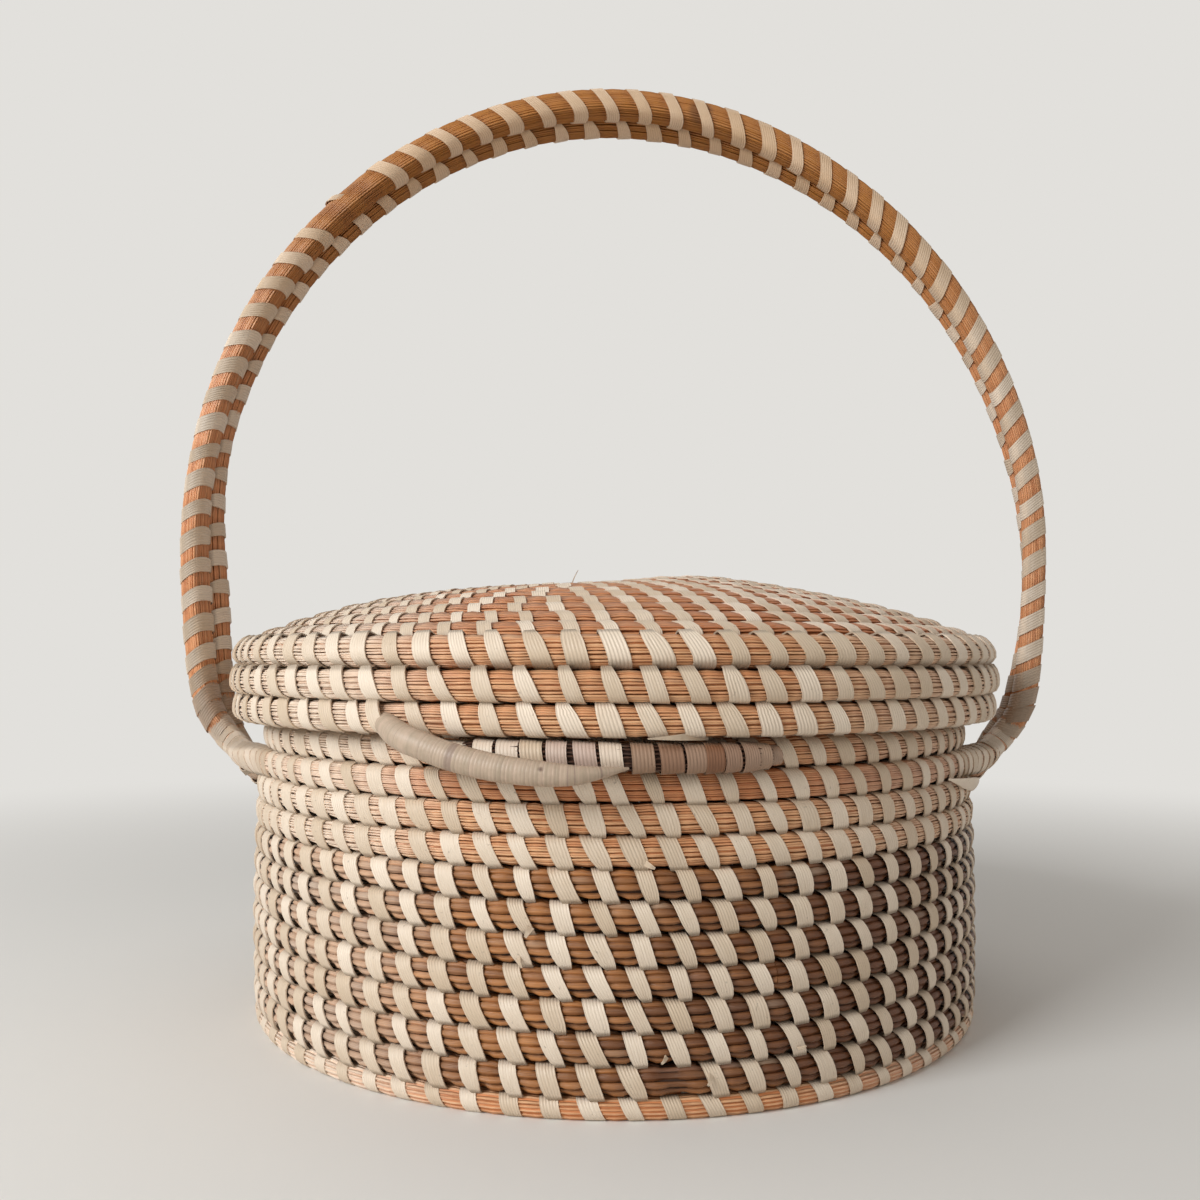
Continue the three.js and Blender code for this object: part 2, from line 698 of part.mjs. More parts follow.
// Tail: the pointed end of a wall bundle, sewn down outside the wall under the front handle coil
const wallOutside = BODY_RADIUS + SEAT_GAP;
const TAIL_THICKNESS = 3.6;
const tailHeight = handleRoundHeight - WALL_COIL - ROUND_GAP + 1.2;
const tailStations = [
  [-20, wallOutside + 1.6, tailHeight - 1.2, 0.9],
  [-16, wallOutside + 1.8, tailHeight - 0.8, 1],
  [-12, wallOutside + 2.2, tailHeight - 0.4, 0.9],
  [-8, wallOutside + 3.6, tailHeight, 0.6],
  [-6, wallOutside + 5.0, tailHeight + 0.3, 0.2],
];

// The basket and its lid
const basket = new THREE.Group();

function add(name, geometry, material, height = 0) {
  const mesh = new THREE.Mesh(geometry, material);
  mesh.name = name;
  mesh.position.z = height;
  basket.add(mesh);
  return mesh;
}

function addKnot(name, radius, underside, top, lift) {
  const mesh = add(name, knot(radius, underside, top), sweetgrass(), lift);
  mesh.rotation.x = Math.PI / 2;
}

const wound = {
  base_coil: [floorCoil(), sweetgrass()],
  wall_bulrush_coil: [wallCoil(0, BULRUSH_ROUNDS, true, false), bulrush()],
  wall_sweetgrass_coil: [
    wallCoil(BULRUSH_ROUNDS, SWEETGRASS_ROUNDS, false, true),
    sweetgrass(),
  ],
  neck_coil: [neckCoil(), sweetgrass()],
  lid_dome_coil: [domeSections, sweetgrass()],
  lid_skirt_coil: [skirtCoil(), sweetgrass()],
};

addKnot('base_centre_knot', floorKnotRadius, 0, floorHeight + wallCorner, 0);
for (const [name, [sections, material]] of Object.entries(wound)) {
  add(name, sweep(sections), material);
  reportGap(name, sections, SIDES / 2);
}

add('foot_coil', sweep(levelRing(footRadius, FOOT_COIL / 2, FOOT_COIL)), sweetgrass());
add('rim_coil', sweep(levelRing(rimRadius, rimHeight, WALL_COIL)), sweetgrass());
add('handle_front_coil', sweep(handleCoil(FRONT_FOOT, -1)), sweetgrass());
add('handle_rear_coil', sweep(handleCoil(REAR_FOOT, 1)), sweetgrass());
add('handle_filler_left', sweep(filler(180, -1)), sweetgrass());
add('handle_filler_right', sweep(filler(0, 1)), sweetgrass());
add('wall_coil_tail', sweep(shortCoil(tailStations, TAIL_THICKNESS, Math.PI / 2)), palmetto());
add('keeper_bow', sweep(keeperBow()), sweetgrass());

const wrapSections = keeperWrap();
add('keeper_wrap', sweep(wrapSections), palmetto());
reportGap('keeper_wrap', wrapSections, WRAP_SIDES / 2 + 1);

const lidKnotRadius = (innerDomeRadius - LID_COIL / 2) * TIGHT_FACET_SHARE - KNOT_CLEARANCE;
const lidKnotHeight = domeHeight(0) + humpAt(0, 0);
addKnot('lid_centre_knot', lidKnotRadius, -lidCorner, lidCorner, lidKnotHeight);
add('lid_tongue', sweep(shortCoil(onFront(tongueStations), TONGUE_COIL, 0)), palmetto());
add('lid_tongue_tip', sweep(shortCoil(onFront(tipStations), TONGUE_COIL, 0)), palmetto());

export default basket;
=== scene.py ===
import math
from dataclasses import dataclass, fields, replace
from functools import cache

import bpy
from mathutils import Matrix, Vector


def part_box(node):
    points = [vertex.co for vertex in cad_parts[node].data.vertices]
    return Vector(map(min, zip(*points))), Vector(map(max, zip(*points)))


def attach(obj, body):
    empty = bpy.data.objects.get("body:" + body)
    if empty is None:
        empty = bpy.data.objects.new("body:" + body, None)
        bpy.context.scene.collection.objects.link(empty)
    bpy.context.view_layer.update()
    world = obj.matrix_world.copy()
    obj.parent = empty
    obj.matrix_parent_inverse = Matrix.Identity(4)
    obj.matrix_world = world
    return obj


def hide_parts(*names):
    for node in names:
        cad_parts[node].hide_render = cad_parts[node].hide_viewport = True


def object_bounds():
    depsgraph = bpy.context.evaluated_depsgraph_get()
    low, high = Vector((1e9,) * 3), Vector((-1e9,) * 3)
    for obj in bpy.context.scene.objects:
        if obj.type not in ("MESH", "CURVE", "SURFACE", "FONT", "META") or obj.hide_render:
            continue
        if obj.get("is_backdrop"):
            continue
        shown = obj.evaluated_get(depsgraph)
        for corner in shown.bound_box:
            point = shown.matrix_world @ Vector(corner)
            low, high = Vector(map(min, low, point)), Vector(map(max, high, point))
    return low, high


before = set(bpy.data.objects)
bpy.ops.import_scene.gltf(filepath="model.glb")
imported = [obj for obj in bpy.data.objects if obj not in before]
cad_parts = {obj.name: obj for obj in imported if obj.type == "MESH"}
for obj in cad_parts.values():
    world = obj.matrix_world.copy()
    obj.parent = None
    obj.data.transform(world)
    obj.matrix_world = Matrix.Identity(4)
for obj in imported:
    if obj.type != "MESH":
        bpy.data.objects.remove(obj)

bl_info = {
    "name": "Coiled Sweetgrass Basket",
    "version": (1, 0, 0),
    "blender": (4, 5, 0),
    "location": "View3D > Sidebar > Basket",
    "description": "Winds and sews a coiled basket with a lid and an arched handle",
    "category": "Add Mesh",
}

MM = 0.001
UP = Vector((0, 0, 1))
ROUND_GAP = 0.45 * MM
SEAT_GAP = 0.35 * MM


def reach_of(coil):
    """How far a round's six-sided solid reaches out from its middle line, from its height."""
    return coil / math.sqrt(3)


# Rounds of the wall, from the solids of the rim and the foot
RIM_LOW, RIM_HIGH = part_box("rim_coil")
FOOT_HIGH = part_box("foot_coil")[1]
WALL_COIL = RIM_HIGH.z - RIM_LOW.z
WALL_PITCH = WALL_COIL + ROUND_GAP
WALL_REACH = reach_of(WALL_COIL)
FIRST_HEIGHT = FOOT_HIGH.z + ROUND_GAP + WALL_COIL / 2
BULRUSH_ROUNDS = 7
WALL_ROUNDS = 9
RING_HEIGHT = FIRST_HEIGHT + WALL_ROUNDS * WALL_PITCH
RIM_HEIGHT = (RIM_LOW.z + RIM_HIGH.z) / 2
RIM_TOP = RIM_HIGH.z
RIM_OUTSIDE = RIM_HIGH.x
RIM_RADIUS = RIM_OUTSIDE - WALL_REACH
BODY_RADIUS = 115 * MM
BODY_NARROWING = 0.8 * MM
FOOT_COIL = FOOT_HIGH.z
FOOT_RADIUS = FOOT_HIGH.x - reach_of(FOOT_COIL)

# How the rounds climb: level for most of a round, and up to the next one at the back. A tapered
# bundle runs on into the climb
LEVEL_SHARE = 0.7
CLIMB_SHARE = 1 - LEVEL_SHARE
TAPER_SHARE = 0.2
LEAST_SHARE = 0.04
START_ANGLE = math.radians(144)

# A stitch as a loop round a bundle of size 1, and how narrow stitches are on a tight round.
# Where the strands have less than LEAST_SEWN of their full thickness, nothing is sewn
LOOP_STEPS = 16
LOOP_OUTSIDE = 0.075
LOOP_INSIDE = 0.015
LOOP_SQUARENESS = 0.1
LEAST_SEWN = 0.8
TIGHT_RADIUS = 30 * MM
TIGHT_BREADTH = 0.62

# Bundles: how far the strands reach under the stitches, how many a thin bundle has, and the
# shaded heart between them
STRAND_REACH = 0.97
THIN_STRANDS = 14
HEART_STEP = 4 * MM
HEART_SIDES = 8

# Floor and neck
FLOOR_HEIGHT = WALL_REACH + 0.5 * MM
FLOOR_OUTER = 105.9 * MM
FLOOR_ROUNDS = 13
FLOOR_STITCHES = 72
ALL_STITCHES_RADIUS = 66 * MM
HALF_STITCHES_RADIUS = 33 * MM
NECK_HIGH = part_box("neck_coil")[1]
NECK_ROUNDS = 3
NECK_STITCHES = 76.05
NECK_PITCH = (NECK_HIGH.z - RIM_TOP) / NECK_ROUNDS
NECK_COIL = NECK_PITCH - ROUND_GAP
NECK_SEAT = 0.9 * MM
NECK_RADIUS = NECK_HIGH.x - reach_of(NECK_COIL)

# Lid, with a low hump on its dome
LID_COIL = 7.55 * MM
LID_PITCH = LID_COIL + ROUND_GAP
DOME_PITCH = LID_COIL + 0.6 * MM
DOME_RISE = 17.9 * MM
DOME_POWER = 3
DOME_STRIP_SHARE = 0.74
SKIRT_ROUNDS = 3
SKIRT_BULGE = 1.0 * MM
SHOULDER_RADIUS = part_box("lid_skirt_coil")[1].x - reach_of(LID_COIL) - SKIRT_BULGE
SHOULDER_HEIGHT = 109.45 * MM
SHOULDER_STACK = math.radians(-62)
LEAST_KNOT_RADIUS = 3.2 * MM
HUMP_HEIGHT = 3.6 * MM
HUMP_SPREAD = 21 * MM
HUMP_X = 28 * MM
HUMP_Y = -8 * MM

# How far apart the places along each coil's middle line are
FLOOR_STEP = 5 * MM
NECK_STEP = 4 * MM
GRASS_STEP = 3 * MM
FOOT_STEP = 2.6 * MM
HANDLE_STEP = 2.5 * MM
RUSH_STEP = 1.8 * MM

# Start knots
KNOT_TURNS = 1.7
KNOT_STEPS = 60
KNOT_STITCHES = 7

# Sewing, in degrees from the front. The lid's stitches stand in line at one place on the right,
# and one of the wall's is missing there near the foot. On the left the lid's stand like bricks
# and the wall's are wider, and both begin and end softly from one value to another
IN_LINE_AT = 14
BRICKS_BEGIN = (2, 30)
BRICKS_END = (120, 160)
BRICK_SHARE = 0.5
WIDER_BEGIN = (30, 65)
WIDER_END = (120, 150)
WIDER_BY = 0.22
MISSING_STITCH = (4.4, 9.3)

# Arch of the handle, and its two coils. What lies above ARCH_LOWEST is on the arch and not on a
# leg
HANDLE_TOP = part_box("handle_front_coil")[1].z
HANDLE_HALF_WIDTH = 144.4 * MM
HANDLE_BELLY = 147 * MM
HANDLE_POWER = 1.95
HANDLE_LEAN = -2.8 * MM
HANDLE_LEG_REACH = 205 * MM
HANDLE_LEG_FOOT = 90 * MM
HANDLE_COIL_WIDTH = 10.2 * MM
HANDLE_LEG_DEPTH = 8.2 * MM
HANDLE_TOP_DEPTH = 9.6 * MM
HANDLE_SEAM = 0.45 * MM
HANDLE_RING_STEP = 13
ARCH_POINTS = 20
ARCH_LOWEST = 200 * MM

# Feet of the two coils, from the round up to the arch: degrees from the side, distance outside
# the round and height above it
FRONT_FOOT = (
    (28, 0, 0),
    (20, 1.9, 0),
    (10, 9.2, 0.2),
    (5, 13.0, 1.4),
    (2.4, 18.6, 5.2),
)
REAR_FOOT = (
    (38, 0, 0),
    (28.5, 2.6, 0.3),
    (20.5, 9.4, -1.6),
    (12.5, 11.2, -7.6),
    (7, 12.0, -9.4),
    (3.4, 14.6, -4.6),
    (2.2, 19.3, 4.0),
)

# Degrees round the arch, and how far the rear coil is turned inwards there from straight behind
HANDLE_TWIST = ((-23, -6), (-8, -20), (14, -9), (90, 7), (166, 1), (188, 16), (203, 6))

# Windings of the handle: how far apart they are, how they lean, how wide and how brown they are. The
# brown on the lower left leg is partly the strips' own tan, partly painted shade of the leg's inner
# side
RING_SPACING = 9.0 * MM
FOOT_SPACING = 5.6 * MM
LEG_SPACING = 9.8 * MM
TOP_SPACING = 11.3 * MM
OPENING_RISE = 25 * MM
LEG_LEAN = 2.2 * MM
TOP_LEAN = 3.0 * MM
LEG_BREADTH = 1.2
TOP_BREADTH = 1.05
STRIP_ROOM = 0.35 * MM
REAR_PHASE = 0.8
FOOT_BROWN = 0.62
LEG_SHADE_BROWN = 0.14
LEG_SHADE_BROWN_END = (180 * MM, 230 * MM)
BARE_STRETCH = (-98 * MM, -80 * MM)
BROKEN_STITCH = -90.5 * MM

# Fillers behind the feet: degrees from the side, and the share of the full coil. A short coil
# has SHORT_SPAN places from one station to the next
FILLER_PLACES = ((-18, 0.3), (-14, 0.6), (-10.5, 0.95), (0, 1), (20, 1), (28, 0.3))
SHORT_SPAN = 12

# Keeper bow, in degrees from the front
BOW_HALF_ANGLE = 22
BOW_LAST = 20.2
BOW_STEPS = 120
BOW_THINS_AT = 0.72
BOW_BENDS_AT = 0.45
BOW_COIL = 6.0 * MM
BOW_EXTRA_HEIGHT = 0.3 * MM
BOW_REACH = reach_of(BOW_COIL)
BOW_SWAY = 0.4 * MM
BOW_STANDOFF = 0.6 * MM
BOW_END_SHARE = 0.42
STRIP_GROWTH = 0.7 * MM / math.cos(math.pi / 6)
BOW_RADIUS = RIM_OUTSIDE + BOW_STANDOFF + STRIP_GROWTH + BOW_REACH

# Wraps of the bow: degrees from the front, width, lean and how mauve each one is, or how brown
# if below zero. The brown of the wraps right of the front is partly their own, partly painted shade
# from the lid above them
BOW_WRAPS = (
    (-17.9, 6.0, 2.2, 0.0),
    (-14.6, 4.6, 0.7, 0.0),
    (-11.9, 5.1, 0.5, 0.12),
    (-9.0, 5.1, 0.5, 0.0),
    (-6.2, 4.8, 0.4, 0.5),
    (-3.1, 5.2, 0.4, 0.6),
    (-0.1, 5.2, 0.5, 0.1),
    (3.4, 5.3, 0.4, -0.75),
    (6.35, 5.5, 0.4, -0.9),
    (9.15, 5.1, 0.3, -0.8),
    (11.5, 4.3, 0.3, -1.0),
    (13.6, 4.0, 0.2, -0.85),
    (15.5, 3.8, 0.2, -0.8),
    (17.4, 3.7, 0.2, -0.7),
    (19.0, 3.5, 0.2, -0.75),
)

# Tongue and its tip: degrees from the front, distance from the axis, height, share of the coil
TONGUE_COIL = 6.6 * MM
TONGUE_TURNS = 66.0
TONGUE_PLACES = (
    (-30.5, 116.2, 94.4, 0.5),
    (-28.2, 119.4, 93.0, 0.72),
    (-26.4, 122.0, 91.8, 0.9),
    (-24.5, 124.4, 90.3, 0.99),
    (-22.6, 125.9, 88.9, 1.0),
    (-21, 126.24, 87.9, 1.0),
    (-18, 126.24, 85.8, 1.0),
    (-15, 126.24, 84.2, 1.0),
    (-12, 126.24, 83.0, 0.97),
    (-9, 126.24, 82.2, 0.92),
    (-6.5, 126.2, 81.8, 0.85),
    (-4.6, 126.0, 81.6, 0.75),
)
TIP_TURNS = 18.0
TIP_PLACES = (
    (-5.2, 126.05, 81.62, 0.77),
    (-4.6, 126.0, 81.6, 0.745),
    (-3.2, 125.4, 81.7, 0.63),
    (-1.8, 124.6, 81.95, 0.49),
    (-0.4, 123.6, 82.3, 0.33),
    (0.7, 122.7, 82.6, 0.2),
    (1.7, 121.7, 82.8, 0.08),
)

# The stitch that holds the tongue's root: degrees from the front, reach from the axis, and how
# far from it the skirt's own stitches keep
ROOT_STITCH = -27.9
ROOT_REACH = 123.4 * MM
ROOT_ROOM = 2.4

# Tail of a coil at the right foot: degrees from the right side, distance, height and share
TAIL_PLACES = (
    (-37.6, 115.6, 75.0, 0.1),
    (-34.5, 116.0, 73.9, 0.42),
    (-31, 116.0, 72.8, 0.72),
    (-26.7, 115.8, 71.7, 0.95),
    (-21, 115.4, 70.4, 1.0),
    (-15, 115.0, 69.4, 0.95),
    (-9, 114.5, 68.6, 0.5),
)
TAIL_COIL = 4.6 * MM
TAIL_TILT = math.radians(30)
TAIL_FLATNESS = 0.6

# Loose leaf ends: two places, each with degrees from the front, distance from the axis and
# height, then the width at each, and how far the leaf curls out between them
LEAF_THICKNESS = 0.25 * MM
LEAF_TONE = 0.9
WALL_ENDS = (
    ((-9.7, 114.8, 44.8), (-10.2, 116.2, 42.8), 1.7, 0.7, 0.5),
    ((-11.2, 114.6, 37.4), (-10.6, 116.0, 35.7), 1.3, 0.4, 0.4),
    ((6.2, 114.5, 15.3), (5.5, 115.9, 14.2), 1.1, 0.4, 0.4),
    ((11.6, 113.9, 10.6), (11.0, 115.4, 8.5), 1.2, 0.4, 0.5),
    ((3.8, 114.9, 60.1), (4.8, 116.4, 59.1), 1.6, 0.6, 0.6),
    ((22.8, 114.5, 14.6), (23.5, 115.8, 15.5), 1.0, 0.3, 0.4),
)
LID_ENDS = (
    ((11.0, 116.5, 90.0), (3.7, 122.6, 89.6), 2.6, 0.3, 1.6),
    ((9.4, 119.8, 99.6), (8.6, 121.2, 99.3), 1.0, 0.3, 0.4),
    ((10.2, 119.8, 99.8), (10.0, 121.0, 100.8), 0.9, 0.3, 0.3),
    ((-17.2, 42.0, 130.5), (-15.2, 40.4, 134.6), 0.3, 0.1, 0.4),
)

# Marks, each with its place in millimetres and its reach: a knot in the tongue's strip and a
# stain on the arch
TONGUE_MARK = ((-16.3, -128.5, 83.6), 1.3 * MM)
ARCH_STAIN = ((29.5, -10.0, 291.3), 5 * MM)

# Painted sheen: paler grass at the sides, where light would glance off the blades, less of it behind,
# and none on the handle's legs nor on the arch. Painted shade: darker towards the right. And the grass
# is golden up the arch
SHEEN_LEFT = (-76 * MM, -30 * MM)
SHEEN_RIGHT = (35 * MM, 85 * MM)
SHEEN_RIGHT_SHARE = 0.5
SHEEN_OUT_TO = (122 * MM, 134 * MM)
SHEEN_BACK_TO = (20 * MM, 90 * MM)
SHEEN_BEHIND = 0.45
SHEEN_UP_TO = (135 * MM, 150 * MM)
RIGHT_SHADE = (-10 * MM, 90 * MM)
GOLDEN_BLADES = (180 * MM, 265 * MM)
GOLDEN_STRIPS = (190 * MM, 285 * MM)

# Camera, in the photograph's frame of 1200 pixels each way
FRAME_PIXELS = 1200
FOCAL_PIXELS = 1134
SENSOR_WIDTH = 36
CAMERA_DISTANCE = 0.383
CAMERA_HEIGHT = 0.1083
CAMERA_RISE_PIXELS = 57
CAMERA_TURN_PIXELS = 13
CAMERA_NEAR = 0.01

# Stage: lamps with their place, size, power and colour, and the air round the basket
LAMPS = (
    ("key light", (-0.74, -0.7, 0.6), 0.5, 10.5, (0.96, 0.985, 1)),
    ("fill light", (0.8, -0.9, 0.45), 0.9, 1.3, (1, 0.96, 0.91)),
    ("top light", (0.1, 0.25, 1.1), 0.9, 1.4, (1, 1, 1)),
)
LAMPS_AIM = Vector((0, 0, 0.11))
AIR_COLOUR = (1, 0.955, 0.9, 1)
AIR_STRENGTH = 0.31
STAGE_HALF_WIDTH = 6.0
STAGE_FADES = (0.2, 0.75)


def linear(red, green, blue):
    """A colour as a material wants it, from its usual values between 0 and 255."""
    shares = (value / 255 for value in (red, green, blue))
    return tuple(s / 12.92 if s <= 0.04045 else ((s + 0.055) / 1.055) ** 2.4 for s in shares)


def size_property(name, description, default):
    return bpy.props.FloatProperty(
        name=name, description=description, default=default, subtype="DISTANCE", unit="LENGTH"
    )


def colour_property(name, description, default):
    return bpy.props.FloatVectorProperty(
        name=name, description=description, default=default, subtype="COLOR", min=0, max=1
    )


def count_property(name, description, default):
    return bpy.props.IntProperty(name=name, description=description, default=default, min=1)


def number_property(name, description, default):
    return bpy.props.FloatProperty(name=name, description=description, default=default, min=1)


class BasketSizes(bpy.types.PropertyGroup):
    """Sizes of the grasses and of the sewing."""

    strip_width: size_property("Strip Width", "Width of a split palmetto strip", 4.7 * MM)
    wide_strip: size_property("Wide Strip", "Width of the strips on sweetgrass", 5.1 * MM)
    lid_strip: size_property("Lid Strip", "Width of the lid's strips", 5.2 * MM)
    strip_slant: size_property("Strip Slant", "How far a stitch leans from its middle", 1.45 * MM)
    dome_spacing: size_property("Dome Spacing", "From stitch to stitch on the dome", 9.3 * MM)
    rod_radius: size_property("Rod Radius", "Thickness of a bulrush rod, halved", 0.98 * MM)
    blade_radius: size_property("Blade Radius", "Thickness of a sweetgrass blade, halved", 0.46 * MM)
    rods: count_property("Rods", "Bulrush rods round a bundle", 10)
    blades: count_property("Blades", "Sweetgrass blades round a bundle", 34)
    bulrush_stitches: number_property("Bulrush Stitches", "Stitches in a bulrush round", 72.94)
    grass_stitches: number_property("Sweetgrass Stitches", "Stitches in a grass round", 80.06)


class BasketColours(bpy.types.PropertyGroup):
    """Colours of the plants and of the stage."""

    palmetto: colour_property("Palmetto", "Fresh palmetto strip", linear(234, 217, 197))
    palmetto_dry: colour_property("Dry Palmetto", "Greyer palmetto strip", linear(206, 184, 158))
    # Brown Palmetto: partly strips that dried brown, partly painted shade on the bow's right-hand wraps
    # and the handle's lower left leg
    palmetto_brown: colour_property("Brown Palmetto", "Strip that dried brown", linear(126, 86, 60))
    # Dome and Dark Dome: redder than the wall's grass, and darker partly as painted shade deep between
    # the dome's strips; the handle's blades use them too
    dome: colour_property("Dome", "Redder blades of the dome", linear(236, 174, 124))
    dome_dark: colour_property("Dark Dome", "Darkest blades of the dome", linear(196, 120, 72))
    mauve: colour_property("Mauve", "Palmetto strip that dried mauve", linear(170, 138, 130))
    sweetgrass: colour_property("Sweetgrass", "Golden sweetgrass", linear(248, 202, 154))
    sweetgrass_dark: colour_property("Dark Sweetgrass", "Browner blades", linear(214, 142, 92))
    bulrush: colour_property("Bulrush", "Orange-brown rush rod", linear(208, 142, 84))
    bulrush_dark: colour_property("Dark Bulrush", "Dark umber rush rod", linear(100, 58, 30))
    # The pale colour of the painted sheen on rods and blades at the sides
    faded: colour_property("Faded", "Rods and blades faded to a pale mauve", linear(244, 225, 204))
    golden: colour_property("Golden", "Blades at the top of the arch", linear(168, 108, 38))
    stain: colour_property("Stain", "Dark marks", linear(70, 38, 22))
    heart: colour_property("Heart", "Shaded middle of a bundle", linear(50, 28, 15))
    floor: colour_property("Floor", "Plain pale floor", linear(226, 224, 220))


def sizes():
    return bpy.context.scene.basket_sizes


def colours():
    return bpy.context.scene.basket_colours


# Node trees


class Wire:
    """A node's output socket, so that sums in a node tree read as plain arithmetic."""

    def __init__(self, nodes, socket):
        self.nodes = nodes
        self.socket = socket

    def other(self, name):
        """Another output of the same node."""
        return Wire(self.nodes, find_socket(self.socket.node.outputs, name))

    def math(self, operation, *terms):
        return self.nodes.add("ShaderNodeMath", {"operation": operation}, dict(enumerate(terms)))

    def __add__(self, term):
        return self.math("ADD", self, term)

    def __radd__(self, term):
        return self.math("ADD", term, self)

    def __sub__(self, term):
        return self.math("SUBTRACT", self, term)

    def __rsub__(self, term):
        return self.math("SUBTRACT", term, self)

    def __mul__(self, term):
        return self.math("MULTIPLY", self, term)

    def __rmul__(self, term):
        return self.math("MULTIPLY", term, self)

    def __truediv__(self, term):
        return self.math("DIVIDE", self, term)

    def __neg__(self):
        return self * -1

    def cosine(self):
        return self.math("COSINE", self)

    def sine(self):
        return self.math("SINE", self)

    def size(self):
        return self.math("ABSOLUTE", self)

    def power(self, exponent):
        return self.math("POWER", self, exponent)

    def at_least(self, limit):
        return self.math("MAXIMUM", self, limit)

    def at_most(self, limit):
        return self.math("MINIMUM", self, limit)

    def past_whole(self):
        """How far a number is past the whole one below it."""
        return self.math("FRACT", self)

    def from_whole(self):
        """How far a number is from the nearest whole one."""
        return (self - self.math("ROUND", self)).size()

    def wave(self, power):
        """Waves between 0 and 1 from an angle, narrower with a higher power."""
        return (self.sine() * 0.5 + 0.5).power(power)


def find_socket(sockets, key):
    if isinstance(key, int):
        return sockets[key]
    for socket in sockets:
        if key in (socket.identifier, socket.name):
            return socket
    raise KeyError(f"no socket {key} among {[socket.identifier for socket in sockets]}")


class Nodes:
    """Adds nodes to one tree."""

    def __init__(self, tree):
        self.tree = tree

    def add(self, kind, settings=None, values=None, output=0):
        """A node of a type, with its settings first and then its sockets' values or links."""
        node = self.tree.nodes.new(kind)
        for name, value in (settings or {}).items():
            setattr(node, name, value)
        for name, value in (values or {}).items():
            self.fill(find_socket(node.inputs, name), value)
        return Wire(self, find_socket(node.outputs, output))

    def fill(self, socket, value):
        if isinstance(value, (list, tuple)) and value and isinstance(value[0], Wire):
            for wire in reversed(value):
                self.tree.links.new(wire.socket, socket)
        elif isinstance(value, Wire):
            self.tree.links.new(value.socket, socket)
        else:
            socket.default_value = value

    def vector(self, operation, *terms, output="Vector"):
        settings = {"operation": operation}
        return self.add("ShaderNodeVectorMath", settings, dict(enumerate(terms)), output)

    def scaled(self, vector, by):
        values = {"Vector": vector, "Scale": by}
        return self.add("ShaderNodeVectorMath", {"operation": "SCALE"}, values, "Vector")

    def length(self, vector):
        return self.vector("LENGTH", vector, output="Value")

    def joined(self, x, y, z):
        return self.add("ShaderNodeCombineXYZ", {}, {"X": x, "Y": y, "Z": z})

    def parts(self, vector):
        split = self.add("ShaderNodeSeparateXYZ", {}, {"Vector": vector}, "X")
        return split, split.other("Y"), split.other("Z")

    def noise(self, vector, scale=1.0, detail=2.0, roughness=0.5):
        values = {"Vector": vector, "Scale": scale, "Detail": detail, "Roughness": roughness}
        return self.add("ShaderNodeTexNoise", {}, values, "Fac")

    def smooth(self, value, low, high, to_low=0.0, to_high=1.0):
        values = {"Value": value, "From Min": low, "From Max": high}
        values.update({"To Min": to_low, "To Max": to_high})
        settings = {"interpolation_type": "SMOOTHSTEP"}
        return self.add("ShaderNodeMapRange", settings, values, "Result")


class WindingNodes(Nodes):
    """Nodes of a tree that makes geometry."""

    def read(self, name, kind="FLOAT"):
        settings = {"data_type": kind}
        return self.add("GeometryNodeInputNamedAttribute", settings, {"Name": name}, "Attribute")

    def read_vector(self, name):
        return self.read(name, "FLOAT_VECTOR")

    def store(self, geometry, name, value, kind="FLOAT"):
        settings = {"data_type": kind, "domain": "POINT"}
        values = {"Geometry": geometry, "Name": name, "Value": value}
        return self.add("GeometryNodeStoreNamedAttribute", settings, values, "Geometry")

    def random(self, low, high, number, seed):
        values = {"Min_001": low, "Max_001": high, "ID": number, "Seed": seed}
        settings = {"data_type": "FLOAT"}
        return self.add("FunctionNodeRandomValue", settings, values, "Value_001")

    def curve(self, mesh, step=None):
        """A mesh's edges as a curve, with its points one step apart if a step is given."""
        line = self.add("GeometryNodeMeshToCurve", {}, {"Mesh": mesh})
        return self.stepped(line, step) if step else line

    def stepped(self, line, step):
        values = {"Curve": line, "Length": step}
        return self.add("GeometryNodeResampleCurve", {"mode": "LENGTH"}, values)

    def placed(self, geometry, offset):
        values = {"Geometry": geometry, "Offset": offset}
        return self.add("GeometryNodeSetPosition", {}, values, "Geometry")

    def along(self):
        """How far along its curve a point lies, from 0 to 1."""
        return self.add("GeometryNodeSplineParameter", {}, {}, "Factor")

    def tube(self, curve, sides, radius):
        """A closed tube of so many sides, with its place round the section as an attribute."""
        circle = self.add("GeometryNodeCurvePrimitiveCircle", {}, {"Resolution": sides, "Radius": 1.0})
        profile = self.store(circle, "around", self.along())
        values = {"Curve": curve, "Profile Curve": profile, "Scale": radius, "Fill Caps": True}
        return self.add("GeometryNodeCurveToMesh", {}, values, "Mesh")

    def realized(self, geometry):
        return self.add("GeometryNodeRealizeInstances", {}, {"Geometry": geometry})

    def coated(self, geometry, material, selection=True):
        values = {"Geometry": geometry, "Material": material, "Selection": selection}
        return self.add("GeometryNodeSetMaterial", {}, values, "Geometry")

    def finish(self, geometry):
        """The last node of the tree."""
        out = self.tree.nodes.new("NodeGroupOutput")
        self.tree.links.new(geometry.socket, out.inputs[0])


SPARE_ATTRIBUTES = ("out", "stack", "half", "lean", "fill", "breadth", "sway", "shift", "fold")
SOCKET_KINDS = {
    int: "NodeSocketInt",
    float: "NodeSocketFloat",
    "object": "NodeSocketObject",
    "material": "NodeSocketMaterial",
}


